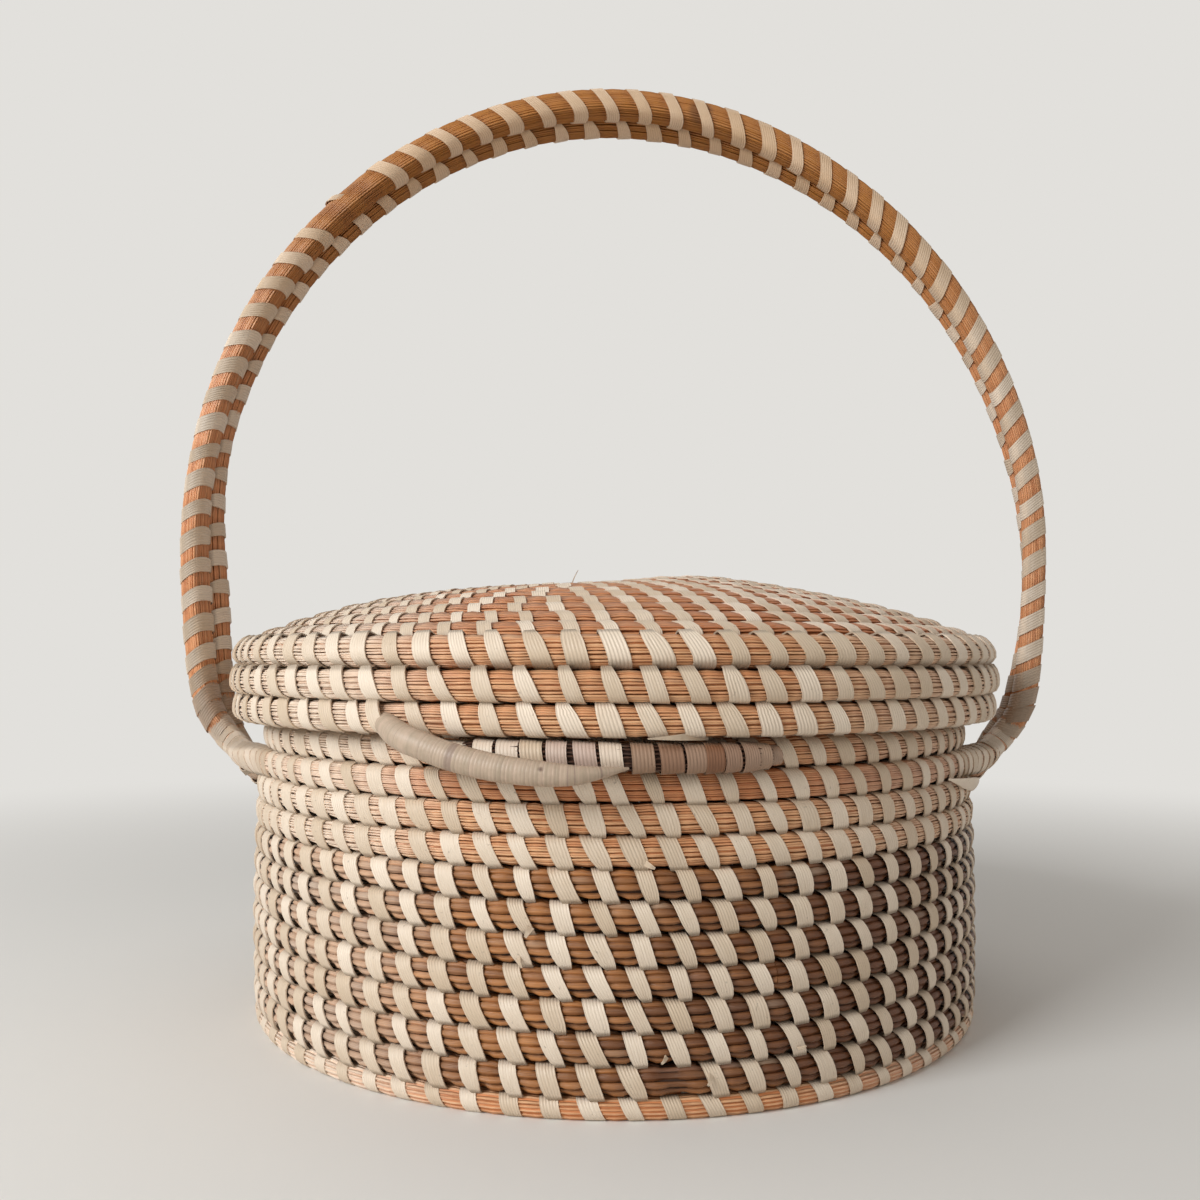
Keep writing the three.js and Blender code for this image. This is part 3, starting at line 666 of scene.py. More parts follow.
def winding_tree(name, inputs):
    """An empty tree with named inputs. Each input's default gives its kind."""
    tree = bpy.data.node_groups.new(name, "GeometryNodeTree")
    tree.interface.new_socket("Geometry", in_out="INPUT", socket_type="NodeSocketGeometry")
    tree.interface.new_socket("Geometry", in_out="OUTPUT", socket_type="NodeSocketGeometry")
    for label, default in inputs.items():
        kind = SOCKET_KINDS[default if isinstance(default, str) else type(default)]
        socket = tree.interface.new_socket(label, in_out="INPUT", socket_type=kind)
        if not isinstance(default, str):
            socket.default_value = default
    entry = tree.nodes.new("NodeGroupInput")
    nodes = WindingNodes(tree)
    ports = {s.name: Wire(nodes, s) for s in entry.outputs if s.name}
    return tree, nodes, ports


@cache
def bundle_tree():
    """Strands round a coil's middle line, drawn in under every stitch, over a dark heart."""
    tree, nodes, ports = winding_tree(
        "Bundle of strands",
        {
            "Strands": 12,
            "Strand Radius": 0.5 * MM,
            "Sides": 5,
            "Pinch": 0.1,
            "Puff": 0.03,
            "Wander": 0.25,
            "Ragged": 0.25 * MM,
            "Strip Share": 0.24,
            "Squareness": 0.09,
            "Heart Share": 0.78,
            "Seed": 1,
            "Strand Finish": "material",
            "Heart Finish": "material",
        },
    )
    seed = ports["Seed"]
    line = nodes.curve(ports["Geometry"])
    values = {"Geometry": line, "Amount": ports["Strands"]}
    copies = nodes.add("GeometryNodeDuplicateElements", {"domain": "SPLINE"}, values)
    number = copies.other("Duplicate Index")

    phase = nodes.read("phase")
    half_out, half_stack, per_metre = nodes.parts(nodes.read_vector("half"))
    lean_out, lean_stack, _ = nodes.parts(nodes.read_vector("lean"))
    drift = nodes.noise(nodes.joined(phase * 0.31, number * 3.7, seed)) - 0.5
    lift = nodes.noise(nodes.joined(phase * 0.47, number * 5.3, seed + 17)) - 0.5
    lane = (number + nodes.random(-0.28, 0.28, number, seed)) / ports["Strands"]
    angle = lane * math.tau + drift * ports["Wander"] + seed
    square = 1 + ports["Squareness"] * (angle * 2).sine().power(2.0)
    side, along = angle.cosine() * square, angle.sine() * square

    shifted = phase - (lean_out * side + lean_stack * along) * per_metre
    edge = ports["Strip Share"]
    free = nodes.smooth(shifted.from_whole(), edge - 0.05, edge + 0.15)
    swell = 1 - ports["Pinch"] + (ports["Pinch"] + ports["Puff"]) * free
    inset = nodes.random(0.0, 1.0, number, seed + 3) * ports["Ragged"]
    raised = lift * ports["Ragged"] * 1.6 * free
    radius = ports["Strand Radius"] * nodes.random(0.86, 1.1, number, seed + 5)
    trim = radius + inset - raised
    away_out = (half_out * swell - trim).at_least(0.0) * side
    away_stack = (half_stack * swell - trim).at_least(0.0) * along
    offset = nodes.vector(
        "ADD",
        nodes.scaled(nodes.read_vector("out"), away_out),
        nodes.scaled(nodes.read_vector("stack"), away_stack),
    )
    strands = nodes.placed(copies, offset)
    strands = nodes.store(strands, "strand", nodes.random(0.0, 1.0, number, seed + 9))
    # How far a strand is drawn in under a stitch; the finishes paint shade there
    strands = nodes.store(strands, "tuck", 1 - free)
    thickness = radius * (0.82 + 0.22 * free) * nodes.read("fill")
    strands = nodes.tube(strands, ports["Sides"], thickness)

    heart_size = half_out.at_most(half_stack) * ports["Heart Share"]
    heart = nodes.tube(nodes.stepped(line, HEART_STEP), HEART_SIDES, heart_size)
    heart = nodes.store(heart, "heart", 1.0)

    joined = nodes.add("GeometryNodeJoinGeometry", {}, {"Geometry": [strands, heart]})
    whole = nodes.coated(nodes.realized(joined), ports["Strand Finish"])
    values = {"A": nodes.read("heart"), "B": 0.5}
    in_heart = nodes.add("FunctionNodeCompare", {"operation": "GREATER_THAN"}, values)
    nodes.finish(nodes.coated(whole, ports["Heart Finish"], in_heart))
    return tree


@cache
def stitch_tree():
    """A palmetto strip sewn round the bundle at every station."""
    tree, nodes, ports = winding_tree(
        "Palmetto stitches",
        {
            "Strip": "object",
            "Width": 4.7 * MM,
            "Snug": 0.93,
            "Sway": 0.45 * MM,
            "Fold": 0.35,
            "Narrowest": 0.8,
            "Widest": 1.06,
            "Seed": 1,
            "Strip Finish": "material",
        },
    )
    number = nodes.add("GeometryNodeInputIndex")
    seed = ports["Seed"]
    points = ports["Geometry"]
    for name, low, high, step in (
        ("tone", 0.0, 1.0, 0),
        ("breadth", ports["Narrowest"], ports["Widest"], 1),
        ("sway", -1.0, 1.0, 2),
        ("shift", -1.0, 1.0, 3),
        ("fold", 0.0, 1.0, 4),
        ("proud", -0.012, 0.03, 5),
    ):
        points = nodes.store(points, name, nodes.random(low, high, number, seed + step))
    strip = nodes.add("GeometryNodeObjectInfo", {}, {"Object": ports["Strip"]}, "Geometry")
    values = {"Points": points, "Instance": strip}
    sewn = nodes.realized(nodes.add("GeometryNodeInstanceOnPoints", {}, values, "Instances"))

    out = nodes.read_vector("out")
    stack = nodes.read_vector("stack")
    half_out, half_stack, _ = nodes.parts(nodes.read_vector("half"))
    lean_out, lean_stack, breadth = nodes.parts(nodes.read_vector("lean"))
    side, along, across = nodes.parts(nodes.read_vector("ring"))
    snug = ports["Snug"] + nodes.read("proud")
    tucked = (-along).at_least(0.0).power(2.0)
    folded = 1 - tucked * nodes.read("fold") * ports["Fold"]
    width = ports["Width"] * breadth * nodes.read("breadth") * folded
    sway = ports["Sway"] * (nodes.read("sway") * along + nodes.read("shift") * 0.6)
    slide = across * width * 0.5 + lean_out * side + lean_stack * along + sway
    outwards = nodes.scaled(out, half_out * side * snug)
    onwards = nodes.scaled(stack, half_stack * along * snug)
    sideways = nodes.scaled(nodes.vector("CROSS_PRODUCT", out, stack), slide)
    offset = nodes.vector("ADD", nodes.vector("ADD", outwards, onwards), sideways)
    nodes.finish(nodes.coated(nodes.placed(sewn, offset), ports["Strip Finish"]))
    return tree


@cache
def finger_tree():
    """A finger wound closely with narrow strip: a tube with a ridge for every turn."""
    tree, nodes, ports = winding_tree(
        "Wound finger",
        {
            "Turns": 60.0,
            "Ridge": 0.022,
            "Flat": 0.0,
            "Step": 0.16 * MM,
            "Sides": 28,
            "Strip Finish": "material",
        },
    )
    line = nodes.curve(ports["Geometry"], ports["Step"])
    along = nodes.along()
    wobble = nodes.noise(nodes.joined(along * 9, 0.0, 3.0)) - 0.5
    turn = along * ports["Turns"] + wobble * 2.0
    groove = 1 - (turn.past_whole() * math.pi).sine()
    line = nodes.store(line, "groove", groove)
    line = nodes.store(line, "along", along)
    here = nodes.add("GeometryNodeInputPosition")
    line = nodes.store(line, "middle", here, "FLOAT_VECTOR")
    half_out = nodes.parts(nodes.read_vector("half"))[0]
    body = nodes.realized(nodes.tube(line, ports["Sides"], half_out * (1 - ports["Ridge"] * groove)))
    out = nodes.read_vector("out")
    away = nodes.vector("SUBTRACT", here, nodes.read_vector("middle"))
    depth = nodes.vector("DOT_PRODUCT", away, out, output="Value")
    body = nodes.placed(body, nodes.scaled(out, -(depth * ports["Flat"])))
    nodes.finish(nodes.coated(body, ports["Strip Finish"]))
    return tree


def clear_away(helper):
    """Removes an object that was only there to make another one, and its mesh."""
    mesh = helper.data
    bpy.data.objects.remove(helper)
    bpy.data.meshes.remove(mesh)


def wound_mesh(tree, source, inputs, name):
    """The plain mesh that a tree makes from an object, as a new object. The source is removed."""
    modifier = source.modifiers.new("Winding", "NODES")
    modifier.node_group = tree
    for item in tree.interface.items_tree:
        if item.name in inputs:
            modifier[item.identifier] = inputs[item.name]
    depsgraph = bpy.context.evaluated_depsgraph_get()
    evaluated = source.evaluated_get(depsgraph)
    mesh = bpy.data.meshes.new_from_object(
        evaluated, preserve_all_data_layers=True, depsgraph=depsgraph
    )
    source.modifiers.remove(modifier)
    clear_away(source)
    for spare in SPARE_ATTRIBUTES:
        if spare in mesh.attributes:
            mesh.attributes.remove(mesh.attributes[spare])
    mesh.name = name
    return shown(mesh, name)


def shown(mesh, name):
    made = bpy.data.objects.new(name, mesh)
    bpy.context.scene.collection.objects.link(made)
    return made


# Routes of the coils


@dataclass(frozen=True)
class Place:
    """One place on a coil's middle line.

    out points out of the work and stack to the next round. half_out and half_stack are the
    bundle's half sizes there, and phase counts the stitches. lean_out and lean_stack are how far
    a stitch slides to the side of its middle, breadth is its share of the full width, and tint
    how mauve it is, or how brown if below zero. fill is a strand's share of its full thickness.
    """

    point: Vector
    out: Vector
    stack: Vector
    half_out: float
    half_stack: float
    phase: float
    lean_out: float = 0.0
    lean_stack: float = 0.0
    breadth: float = 1.0
    fill: float = 1.0
    tint: float = 0.0


def ease(share):
    return (1 - math.cos(math.pi * share)) / 2


def blend(start, end, share):
    return start + (end - start) * share


def clipped(value):
    """The value, kept between 0 and 1."""
    return min(1.0, max(0.0, value))


def smoothly(value, low, high):
    share = clipped((value - low) / (high - low))
    return share * share * (3 - 2 * share)


def within(value, begin, end):
    """1 between two soft borders, each from one value to another, and 0 outside them."""
    return smoothly(value, *begin) * (1 - smoothly(value, *end))


def between(first, second, share):
    """A place on the way from one place to another."""
    names = [field.name for field in fields(Place)]
    place = Place(*(blend(getattr(first, name), getattr(second, name), share) for name in names))
    return replace(place, out=place.out.normalized(), stack=place.stack.normalized())


def around(angle, radius, height):
    return Vector((radius * math.cos(angle), radius * math.sin(angle), height))


def front_angle(point):
    """Degrees from the front, towards the right."""
    return math.degrees(math.atan2(point.x, -point.y))


def climbed(turn):
    """Which round a coil is in after so many turns."""
    whole = math.floor(turn)
    return whole + ease(max(0.0, turn - whole - LEVEL_SHARE) / CLIMB_SHARE)


def wall_radius(height):
    swell = math.sin(math.pi * height / RING_HEIGHT)
    return BODY_RADIUS - WALL_REACH - BODY_NARROWING * (1 - max(0.0, swell))


@dataclass(frozen=True)
class Round:
    """Where a round of a coil lies: radius, height, and the angle to the next round."""

    radius: float
    height: float
    stack: float


def upright(radius, height):
    return Round(radius, height, math.pi / 2)


def wall_round(number):
    height = FIRST_HEIGHT + number * WALL_PITCH
    return upright(wall_radius(height), height)


def floor_round(number):
    return Round(FLOOR_OUTER - (FLOOR_ROUNDS - 1 - number) * WALL_PITCH, FLOOR_HEIGHT, 0.0)


def neck_round(number):
    height = RIM_TOP + NECK_PITCH * (number + 0.5) + ROUND_GAP / 2 - NECK_SEAT
    return upright(NECK_RADIUS, height)


def dome_height(radius):
    return SHOULDER_HEIGHT + DOME_RISE * (1 - (radius / SHOULDER_RADIUS) ** DOME_POWER)


def dome_slope(radius):
    steepest = DOME_POWER * DOME_RISE / SHOULDER_RADIUS
    return steepest * (radius / SHOULDER_RADIUS) ** (DOME_POWER - 1)


def dome_radii():
    """The radii of the dome's rounds, from the start knot to the shoulder."""
    radii = [SHOULDER_RADIUS]
    while True:
        middle = radii[0] - DOME_PITCH / 2
        inner = radii[0] - DOME_PITCH / math.hypot(1, dome_slope(middle))
        if inner < LID_COIL / 2 + LEAST_KNOT_RADIUS:
            return radii
        radii.insert(0, inner)


LID_RADII = dome_radii()
SHOULDER_ROUND = len(LID_RADII) - 1


def hump(x, y):
    distance = (x - HUMP_X) ** 2 + (y - HUMP_Y) ** 2
    return HUMP_HEIGHT * math.exp(-distance / (2 * HUMP_SPREAD**2))


def lid_stack(number):
    """The angle from a round of the lid to the next one."""
    if number > SHOULDER_ROUND:
        return -math.pi / 2
    if number == SHOULDER_ROUND:
        return SHOULDER_STACK
    return -math.atan(dome_slope(LID_RADII[number]))


def lid_round(number):
    whole = math.floor(number)
    share = number - whole
    stack = blend(lid_stack(whole), lid_stack(whole + 1), share)
    if whole >= SHOULDER_ROUND:
        below = number - SHOULDER_ROUND
        bulge = SKIRT_BULGE * math.sin(math.pi * below / (SKIRT_ROUNDS - 1))
        return Round(SHOULDER_RADIUS + bulge, SHOULDER_HEIGHT - below * LID_PITCH, stack)
    radius = blend(LID_RADII[whole], LID_RADII[whole + 1], share)
    height = blend(dome_height(LID_RADII[whole]), dome_height(LID_RADII[whole + 1]), share)
    return Round(radius, height, stack)


def wound(round_at, first, last, coil, stitches, step, tapers=(False, False), outwards=1, humped=False):
    """Places along a coil from one turn to another.

    round_at gives the round at a turn, and stitches the count of stitches up to it. A tapered
    start or end fills the wedge that the climbing round leaves beside it.
    """
    half = coil / 2
    pitch = coil + ROUND_GAP
    turn = first - (TAPER_SHARE if tapers[0] else 0)
    end = last + (TAPER_SHARE if tapers[1] else 0)
    slant = sizes().strip_slant * coil / WALL_COIL
    places = []
    while True:
        if turn < first:
            here = round_at(first)
            room = ease(max(0.0, 1 - (first - turn) / CLIMB_SHARE)) * pitch - ROUND_GAP
            shift = room / 2 - half
        elif turn > last and tapers[1]:
            here = round_at(math.floor(last))
            room = (1 - ease((turn - last) / CLIMB_SHARE)) * pitch - ROUND_GAP
            shift = half - room / 2
        else:
            here = round_at(climbed(turn))
            room, shift = coil, 0.0
        share = min(1.0, max(LEAST_SHARE, room / coil))
        angle = START_ANGLE + turn * math.tau
        radial = around(angle, 1.0, 0.0)
        stack = radial * math.cos(here.stack) + UP * math.sin(here.stack)
        point = around(angle, here.radius, here.height) + stack * shift
        if humped:
            point.z += hump(point.x, point.y)
        tight = min(1.0, here.radius / TIGHT_RADIUS)
        places.append(
            Place(
                point=point,
                out=(UP * math.cos(here.stack) - radial * math.sin(here.stack)) * outwards,
                stack=stack,
                half_out=reach_of(coil) * STRAND_REACH * math.sqrt(share),
                half_stack=(half + ROUND_GAP / 2) * share,
                phase=stitches(turn),
                lean_stack=slant * tight,
                breadth=blend(TIGHT_BREADTH, 1.0, tight),
                fill=math.sqrt(share),
            )
        )
        if turn >= end:
            return places
        turn = min(end, turn + step / (math.tau * here.radius))


def wall_rounds(round_at, first, last, stitches, step, tapers=(False, False)):
    """Places along rounds of the wall's full size, which face out of the basket."""
    return wound(round_at, first, last, WALL_COIL, stitches, step, tapers, outwards=-1)


def lid_rounds(first, last, tapers):
    """Places along rounds of the lid."""
    return wound(lid_round, first, last, LID_COIL, lid_stitches, GRASS_STEP, tapers, humped=True)


def steady(stitches):
    """The same number of stitches in every round."""
    return lambda turn: stitches * turn


def lid_count(number):
    """How many stitches a round of the lid has."""
    if number >= SHOULDER_ROUND:
        return sizes().grass_stitches
    return round(math.tau * LID_RADII[max(0, number)] / sizes().dome_spacing)


def lid_stitches(turn):
    """The count of stitches up to a turn of the lid. All rounds have one in line at the front."""
    in_line = (math.radians(IN_LINE_AT - 90) - START_ANGLE) / math.tau % 1
    count = 0.0
    for number in range(-1, SHOULDER_ROUND + SKIRT_ROUNDS + 1):
        count += clipped(turn - in_line - number) * lid_count(number + 1)
    right = math.degrees(START_ANGLE + turn * math.tau) + 90
    left = -((right + 180) % 360 - 180)
    every_other = math.floor(turn - in_line) % 2
    return count + within(left, BRICKS_BEGIN, BRICKS_END) * every_other * BRICK_SHARE


def crowding(radius):
    """The share of the stitches that a round of the floor has: fewer if it is tighter."""
    if radius > ALL_STITCHES_RADIUS:
        return 1
    return 0.5 if radius > HALF_STITCHES_RADIUS else 0.25


def floor_stitches(turn):
    """The count of stitches up to a turn of the floor."""
    count = 0.0
    for number in range(FLOOR_ROUNDS):
        count += clipped(turn - number) * FLOOR_STITCHES * crowding(floor_round(number).radius)
    return count


# Handle and short coils


def smooth_line(points, per_span=16):
    """Points of a rounded line through the given ones."""
    ends = [points[0] * 2 - points[1], *points, points[-1] * 2 - points[-2]]
    line = []
    for index in range(len(points) - 1):
        a, b, c, d = ends[index : index + 4]
        gaps = [max(1e-6, math.sqrt((q - p).length)) for p, q in ((a, b), (b, c), (c, d))]
        leave = (b - a) / gaps[0] - (c - a) / (gaps[0] + gaps[1]) + (c - b) / gaps[1]
        arrive = (c - b) / gaps[1] - (d - b) / (gaps[1] + gaps[2]) + (d - c) / gaps[2]
        leave, arrive = leave * gaps[1], arrive * gaps[1]
        for k in range(per_span):
            t = k / per_span
            line.append(
                b * (2 * t**3 - 3 * t**2 + 1)
                + leave * (t**3 - 2 * t**2 + t)
                + c * (3 * t**2 - 2 * t**3)
                + arrive * (t**3 - t**2)
            )
    return [*line, points[-1].copy()]


def evenly(line, step):
    """The same line with its points one step apart."""
    lengths = [0.0]
    for p, q in zip(line, line[1:]):
        lengths.append(lengths[-1] + (q - p).length)
    count = max(2, round(lengths[-1] / step))
    points, index = [], 0
    for k in range(count + 1):
        wanted = lengths[-1] * k / count
        while index < len(line) - 2 and lengths[index + 1] < wanted:
            index += 1
        span = max(1e-9, lengths[index + 1] - lengths[index])
        points.append(line[index].lerp(line[index + 1], (wanted - lengths[index]) / span))
    return points


def tangents_of(points):
    ahead = [*points[1:], points[-1]]
    behind = [points[0], *points[:-1]]
    return [(q - p).normalized() for p, q in zip(behind, ahead)]


def pair_direction(x, z):
    """The direction from the handle's front coil to its rear one."""
    angle = math.degrees(math.atan2(z - HANDLE_BELLY, x))
    angle = angle + 360 if angle < -90 else angle
    last = len(HANDLE_TWIST) - 1
    after = max(1, next((k for k, (place, _) in enumerate(HANDLE_TWIST) if place > angle), last))
    (from_place, from_twist), (to_place, to_twist) = HANDLE_TWIST[after - 1 : after + 1]
    share = clipped((angle - from_place) / (to_place - from_place))
    twist = math.radians(blend(from_twist, to_twist, share))
    inward = Vector((-x, 0, min(0.0, HANDLE_BELLY - z))).normalized()
    return inward * math.sin(twist) + Vector((0, math.cos(twist), 0))


def arch_point(share, towards):
    """A point of one coil's arch. towards is -1 for the front coil and 1 for the rear one."""
    lowest = math.asin((HANDLE_BELLY - HANDLE_LEG_FOOT) / HANDLE_LEG_REACH)
    angle = blend(-lowest, math.pi + lowest, share)
    cosine, sine = math.cos(angle), math.sin(angle)
    wide = math.copysign(abs(cosine) ** (2 / HANDLE_POWER), cosine)
    high = math.copysign(abs(sine) ** (2 / HANDLE_POWER), sine)
    rise = HANDLE_TOP - HANDLE_TOP_DEPTH / 2 - HANDLE_BELLY
    x = (HANDLE_HALF_WIDTH - HANDLE_LEG_DEPTH / 2) * wide + HANDLE_LEAN * max(0.0, high)
    z = HANDLE_BELLY + (rise if high > 0 else HANDLE_LEG_REACH) * high
    apart = pair_direction(x, z) * (HANDLE_COIL_WIDTH + HANDLE_SEAM)
    point = Vector((x, -apart.y / 2, z))
    return point + apart if towards > 0 else point


def handle_line(foot, towards):
    """One coil's route: round its half of the wall, up a foot, over the arch, and back down."""
    radius = wall_radius(RING_HEIGHT)

    def side(sign):
        points = []
        for degrees, out, rise in foot:
            place = around(math.radians(degrees), radius + out * MM, RING_HEIGHT + rise * MM)
            points.append(Vector((sign * place.x, towards * place.y, place.z)))
        return points

    def ring(sign):
        start = HANDLE_SEAM / 2 / radius
        end = math.radians(90 - foot[0][0])
        steps = round(end / math.radians(HANDLE_RING_STEP))
        points = []
        for k in range(steps):
            angle = blend(start, end, k / steps)
            x, y = radius * math.sin(angle), radius * math.cos(angle)
            points.append(Vector((sign * x, towards * y, RING_HEIGHT)))
        return points

    arch = [arch_point(k / ARCH_POINTS, towards) for k in range(ARCH_POINTS + 1)]
    return [*ring(1), *side(1), *arch, *side(-1)[::-1], *ring(-1)[::-1]]


def handle_faces(points, ways, on_ring, towards):
    """Where the next coil lies from each point: beside it in the arch, and above it in the round.

    From the one to the other the coil rolls over on its foot.
    """
    top = len(points) // 2
    faces = [None] * len(points)

    def across(vector, index):
        return (vector - ways[index] * vector.dot(ways[index])).normalized()

    for way in (1, -1):
        order = range(top, len(points)) if way > 0 else range(top, -1, -1)
        on_foot = []
        for i in order:
            if points[i].z > HANDLE_LEG_FOOT or i == top:
                faces[i] = across(pair_direction(points[i].x, points[i].z) * towards, i)
            else:
                faces[i] = across(faces[i - way], i)
                if not on_ring[i]:
                    on_foot.append(i)
        last = on_foot[-1]
        level = across(UP, last)
        turned = faces[last].cross(level).dot(ways[last])
        roll = math.atan2(turned, faces[last].dot(level))
        for k, i in enumerate(on_foot):
            share = ease((k + 1) / len(on_foot))
            faces[i] = Matrix.Rotation(roll * share, 3, ways[i]) @ faces[i]
        for i in order:
            if on_ring[i]:
                faces[i] = UP.copy()
    return faces


def handle_places(foot, towards):
    """Places along one of the handle's coils, from the middle of its half of the round."""
    points = evenly(smooth_line(handle_line(foot, towards)), HANDLE_STEP)
    ways = tangents_of(points)
    edge = wall_radius(RING_HEIGHT) * math.sin(math.radians(foot[0][0]))
    on_ring = [abs(p.y) > edge and p.z < HANDLE_LEG_FOOT for p in points]
    faces = handle_faces(points, ways, on_ring, towards)
    phase = 0.0 if towards < 0 else REAR_PHASE
    places = []
    for i, point in enumerate(points):
        raised = 0.0 if on_ring[i] else smoothly(point.z, RING_HEIGHT, HANDLE_LEG_FOOT)
        on_leg = smoothly(point.z, HANDLE_LEG_FOOT, HANDLE_LEG_FOOT + OPENING_RISE)
        risen = smoothly(point.z, HANDLE_BELLY, HANDLE_TOP)
        depth = blend(HANDLE_LEG_DEPTH, HANDLE_TOP_DEPTH, risen)
        spacing = blend(FOOT_SPACING, blend(LEG_SPACING, TOP_SPACING, risen), on_leg)
        spacing = RING_SPACING if on_ring[i] else spacing
        phase += HANDLE_STEP / spacing if i else 0.0
        left = point.x < 0 and not on_ring[i]
        # Painted shade, partly the strips' own tan: the lower left leg's strips are browner
        leg_shade_brown = LEG_SHADE_BROWN * (1 - smoothly(point.z, *LEG_SHADE_BROWN_END)) if left else 0.0
        places.append(
            Place(
                point=point,
                out=ways[i].cross(faces[i]).normalized() * -towards,
                stack=faces[i],
                half_out=blend(WALL_REACH * STRAND_REACH, depth / 2 - STRIP_ROOM, raised),
                half_stack=blend(WALL_COIL / 2, HANDLE_COIL_WIDTH / 2, raised) + ROUND_GAP / 2,
                phase=phase,
                lean_out=towards * blend(LEG_LEAN, TOP_LEAN, risen) * raised,
                lean_stack=sizes().strip_slant * (1 - raised),
                breadth=blend(1.0, blend(LEG_BREADTH, TOP_BREADTH, risen), raised),
                tint=-max(FOOT_BROWN * raised * (1 - on_leg), leg_shade_brown),
            )
        )
    return places


def in_metres(stations):
    """Stations with their distance and height turned from millimetres into metres."""
    return [(degrees, out * MM, height * MM, share) for degrees, out, height, share in stations]


def short_places(stations, coil, from_front=0.0):
    """Places along a short coil. A station is its angle, radius, height and share of the coil."""
    points, shares = [], []
    for degrees, radius, height, share in stations:
        points.append(around(math.radians(degrees + from_front), radius, height))
        shares.append(share)
    line = smooth_line(points, SHORT_SPAN)
    steps = [k / SHORT_SPAN for k in range(SHORT_SPAN)]
    line_shares = [blend(a, b, step) for a, b in zip(shares, shares[1:]) for step in steps]
    line_shares.append(shares[-1])
    ways = tangents_of(line)
    places, length = [], 0.0
    for i, point in enumerate(line):
        length += (point - line[i - 1]).length if i else 0.0
        out = square_out(point, ways[i])
        stack = out.cross(ways[i]).normalized()
        places.append(
            Place(
                point=point,
                out=out,
                stack=stack if stack.z > 0 else -stack,
                half_out=coil / 2 * line_shares[i],
                half_stack=coil / 2 * line_shares[i],
                phase=length / RING_SPACING,
                fill=math.sqrt(line_shares[i]),
            )
        )
    return places


def square_out(point, way):
    """The direction out of the basket at a point, square to a way."""
    out = Vector((point.x, point.y, 0)).normalized()
    return (out - way * out.dot(way)).normalized()


def bow_places():
    """Places along the keeper bow, which thins and bends in to the rim at both ends."""
    places = []
    for k in range(BOW_STEPS + 1):
        degrees = blend(-BOW_HALF_ANGLE, BOW_LAST, k / BOW_STEPS)
        outwards = abs(degrees) / BOW_HALF_ANGLE
        thin = ease(max(0.0, outwards - BOW_THINS_AT) / (1 - BOW_THINS_AT))
        bend = ease(max(0.0, outwards - BOW_BENDS_AT) / (1 - BOW_BENDS_AT))
        share = blend(1, BOW_END_SHARE, thin)
        seat = RIM_OUTSIDE + SEAT_GAP
        radius = blend(BOW_RADIUS, seat + BOW_REACH * BOW_END_SHARE, bend)
        clear = seat + (BOW_REACH + STRIP_GROWTH) * share
        height = RIM_HEIGHT - BOW_SWAY * math.sin(math.pi * degrees / BOW_HALF_ANGLE)
        angle = math.radians(degrees - 90)
        places.append(
            Place(
                point=around(angle, max(radius, clear), height),
                out=around(angle, 1.0, 0.0),
                stack=UP.copy(),
                half_out=BOW_REACH * share,
                half_stack=(BOW_COIL / 2 + BOW_EXTRA_HEIGHT) * share,
                phase=degrees,
                fill=math.sqrt(share),
            )
        )
    return places


# Objects from routes


def keep_vectors(mesh, name, vectors):
    """Keeps a vector at each point of a mesh, for the trees and finishes."""
    attribute = mesh.attributes.new(name, "FLOAT_VECTOR", "POINT")
    attribute.data.foreach_set("vector", [c for vector in vectors for c in vector])


def keep_numbers(mesh, name, numbers):
    """Keeps a number at each point of a mesh, for the trees and finishes."""
    attribute = mesh.attributes.new(name, "FLOAT", "POINT")
    attribute.data.foreach_set("value", numbers)


def stitch_rates(places):
    """Stitches in a metre at each place, below zero where they count against the line."""
    ways = tangents_of([place.point for place in places])
    rates = []
    for i, place in enumerate(places):
        after, before = places[min(i + 1, len(places) - 1)], places[max(i - 1, 0)]
        length = max(1e-6, (after.point - before.point).length)
        sign = math.copysign(1.0, place.out.cross(place.stack).dot(ways[i]))
        rates.append(sign * (after.phase - before.phase) / length)
    return rates


def pattern_object(name, places, joined):
    """A line of places, or loose stations, with what the trees read at each one."""
    mesh = bpy.data.meshes.new(name)
    edges = [(i, i + 1) for i in range(len(places) - 1)] if joined else []
    mesh.from_pydata([place.point for place in places], edges, [])
    rates = stitch_rates(places) if joined else [0.0] * len(places)
    keep_vectors(mesh, "out", [p.out for p in places])
    keep_vectors(mesh, "stack", [p.stack for p in places])
    keep_vectors(mesh, "half", [(p.half_out, p.half_stack, r) for p, r in zip(places, rates)])
    keep_vectors(mesh, "lean", [(p.lean_out, p.lean_stack, p.breadth) for p in places])
    for key in ("phase", "fill", "tint"):
        keep_numbers(mesh, key, [getattr(place, key) for place in places])
    return shown(mesh, name)


def never(place):
    return False


def stations_on(places, skip=never):
    """A station wherever the count of stitches reaches a whole number."""
    stations = []
    for first, second in zip(places, places[1:]):
        for whole in range(math.ceil(first.phase), math.ceil(second.phase)):
            share = (whole - first.phase) / (second.phase - first.phase)
            station = between(first, second, share)
            if station.fill > LEAST_SEWN and not skip(station):
                stations.append(station)
    return stations


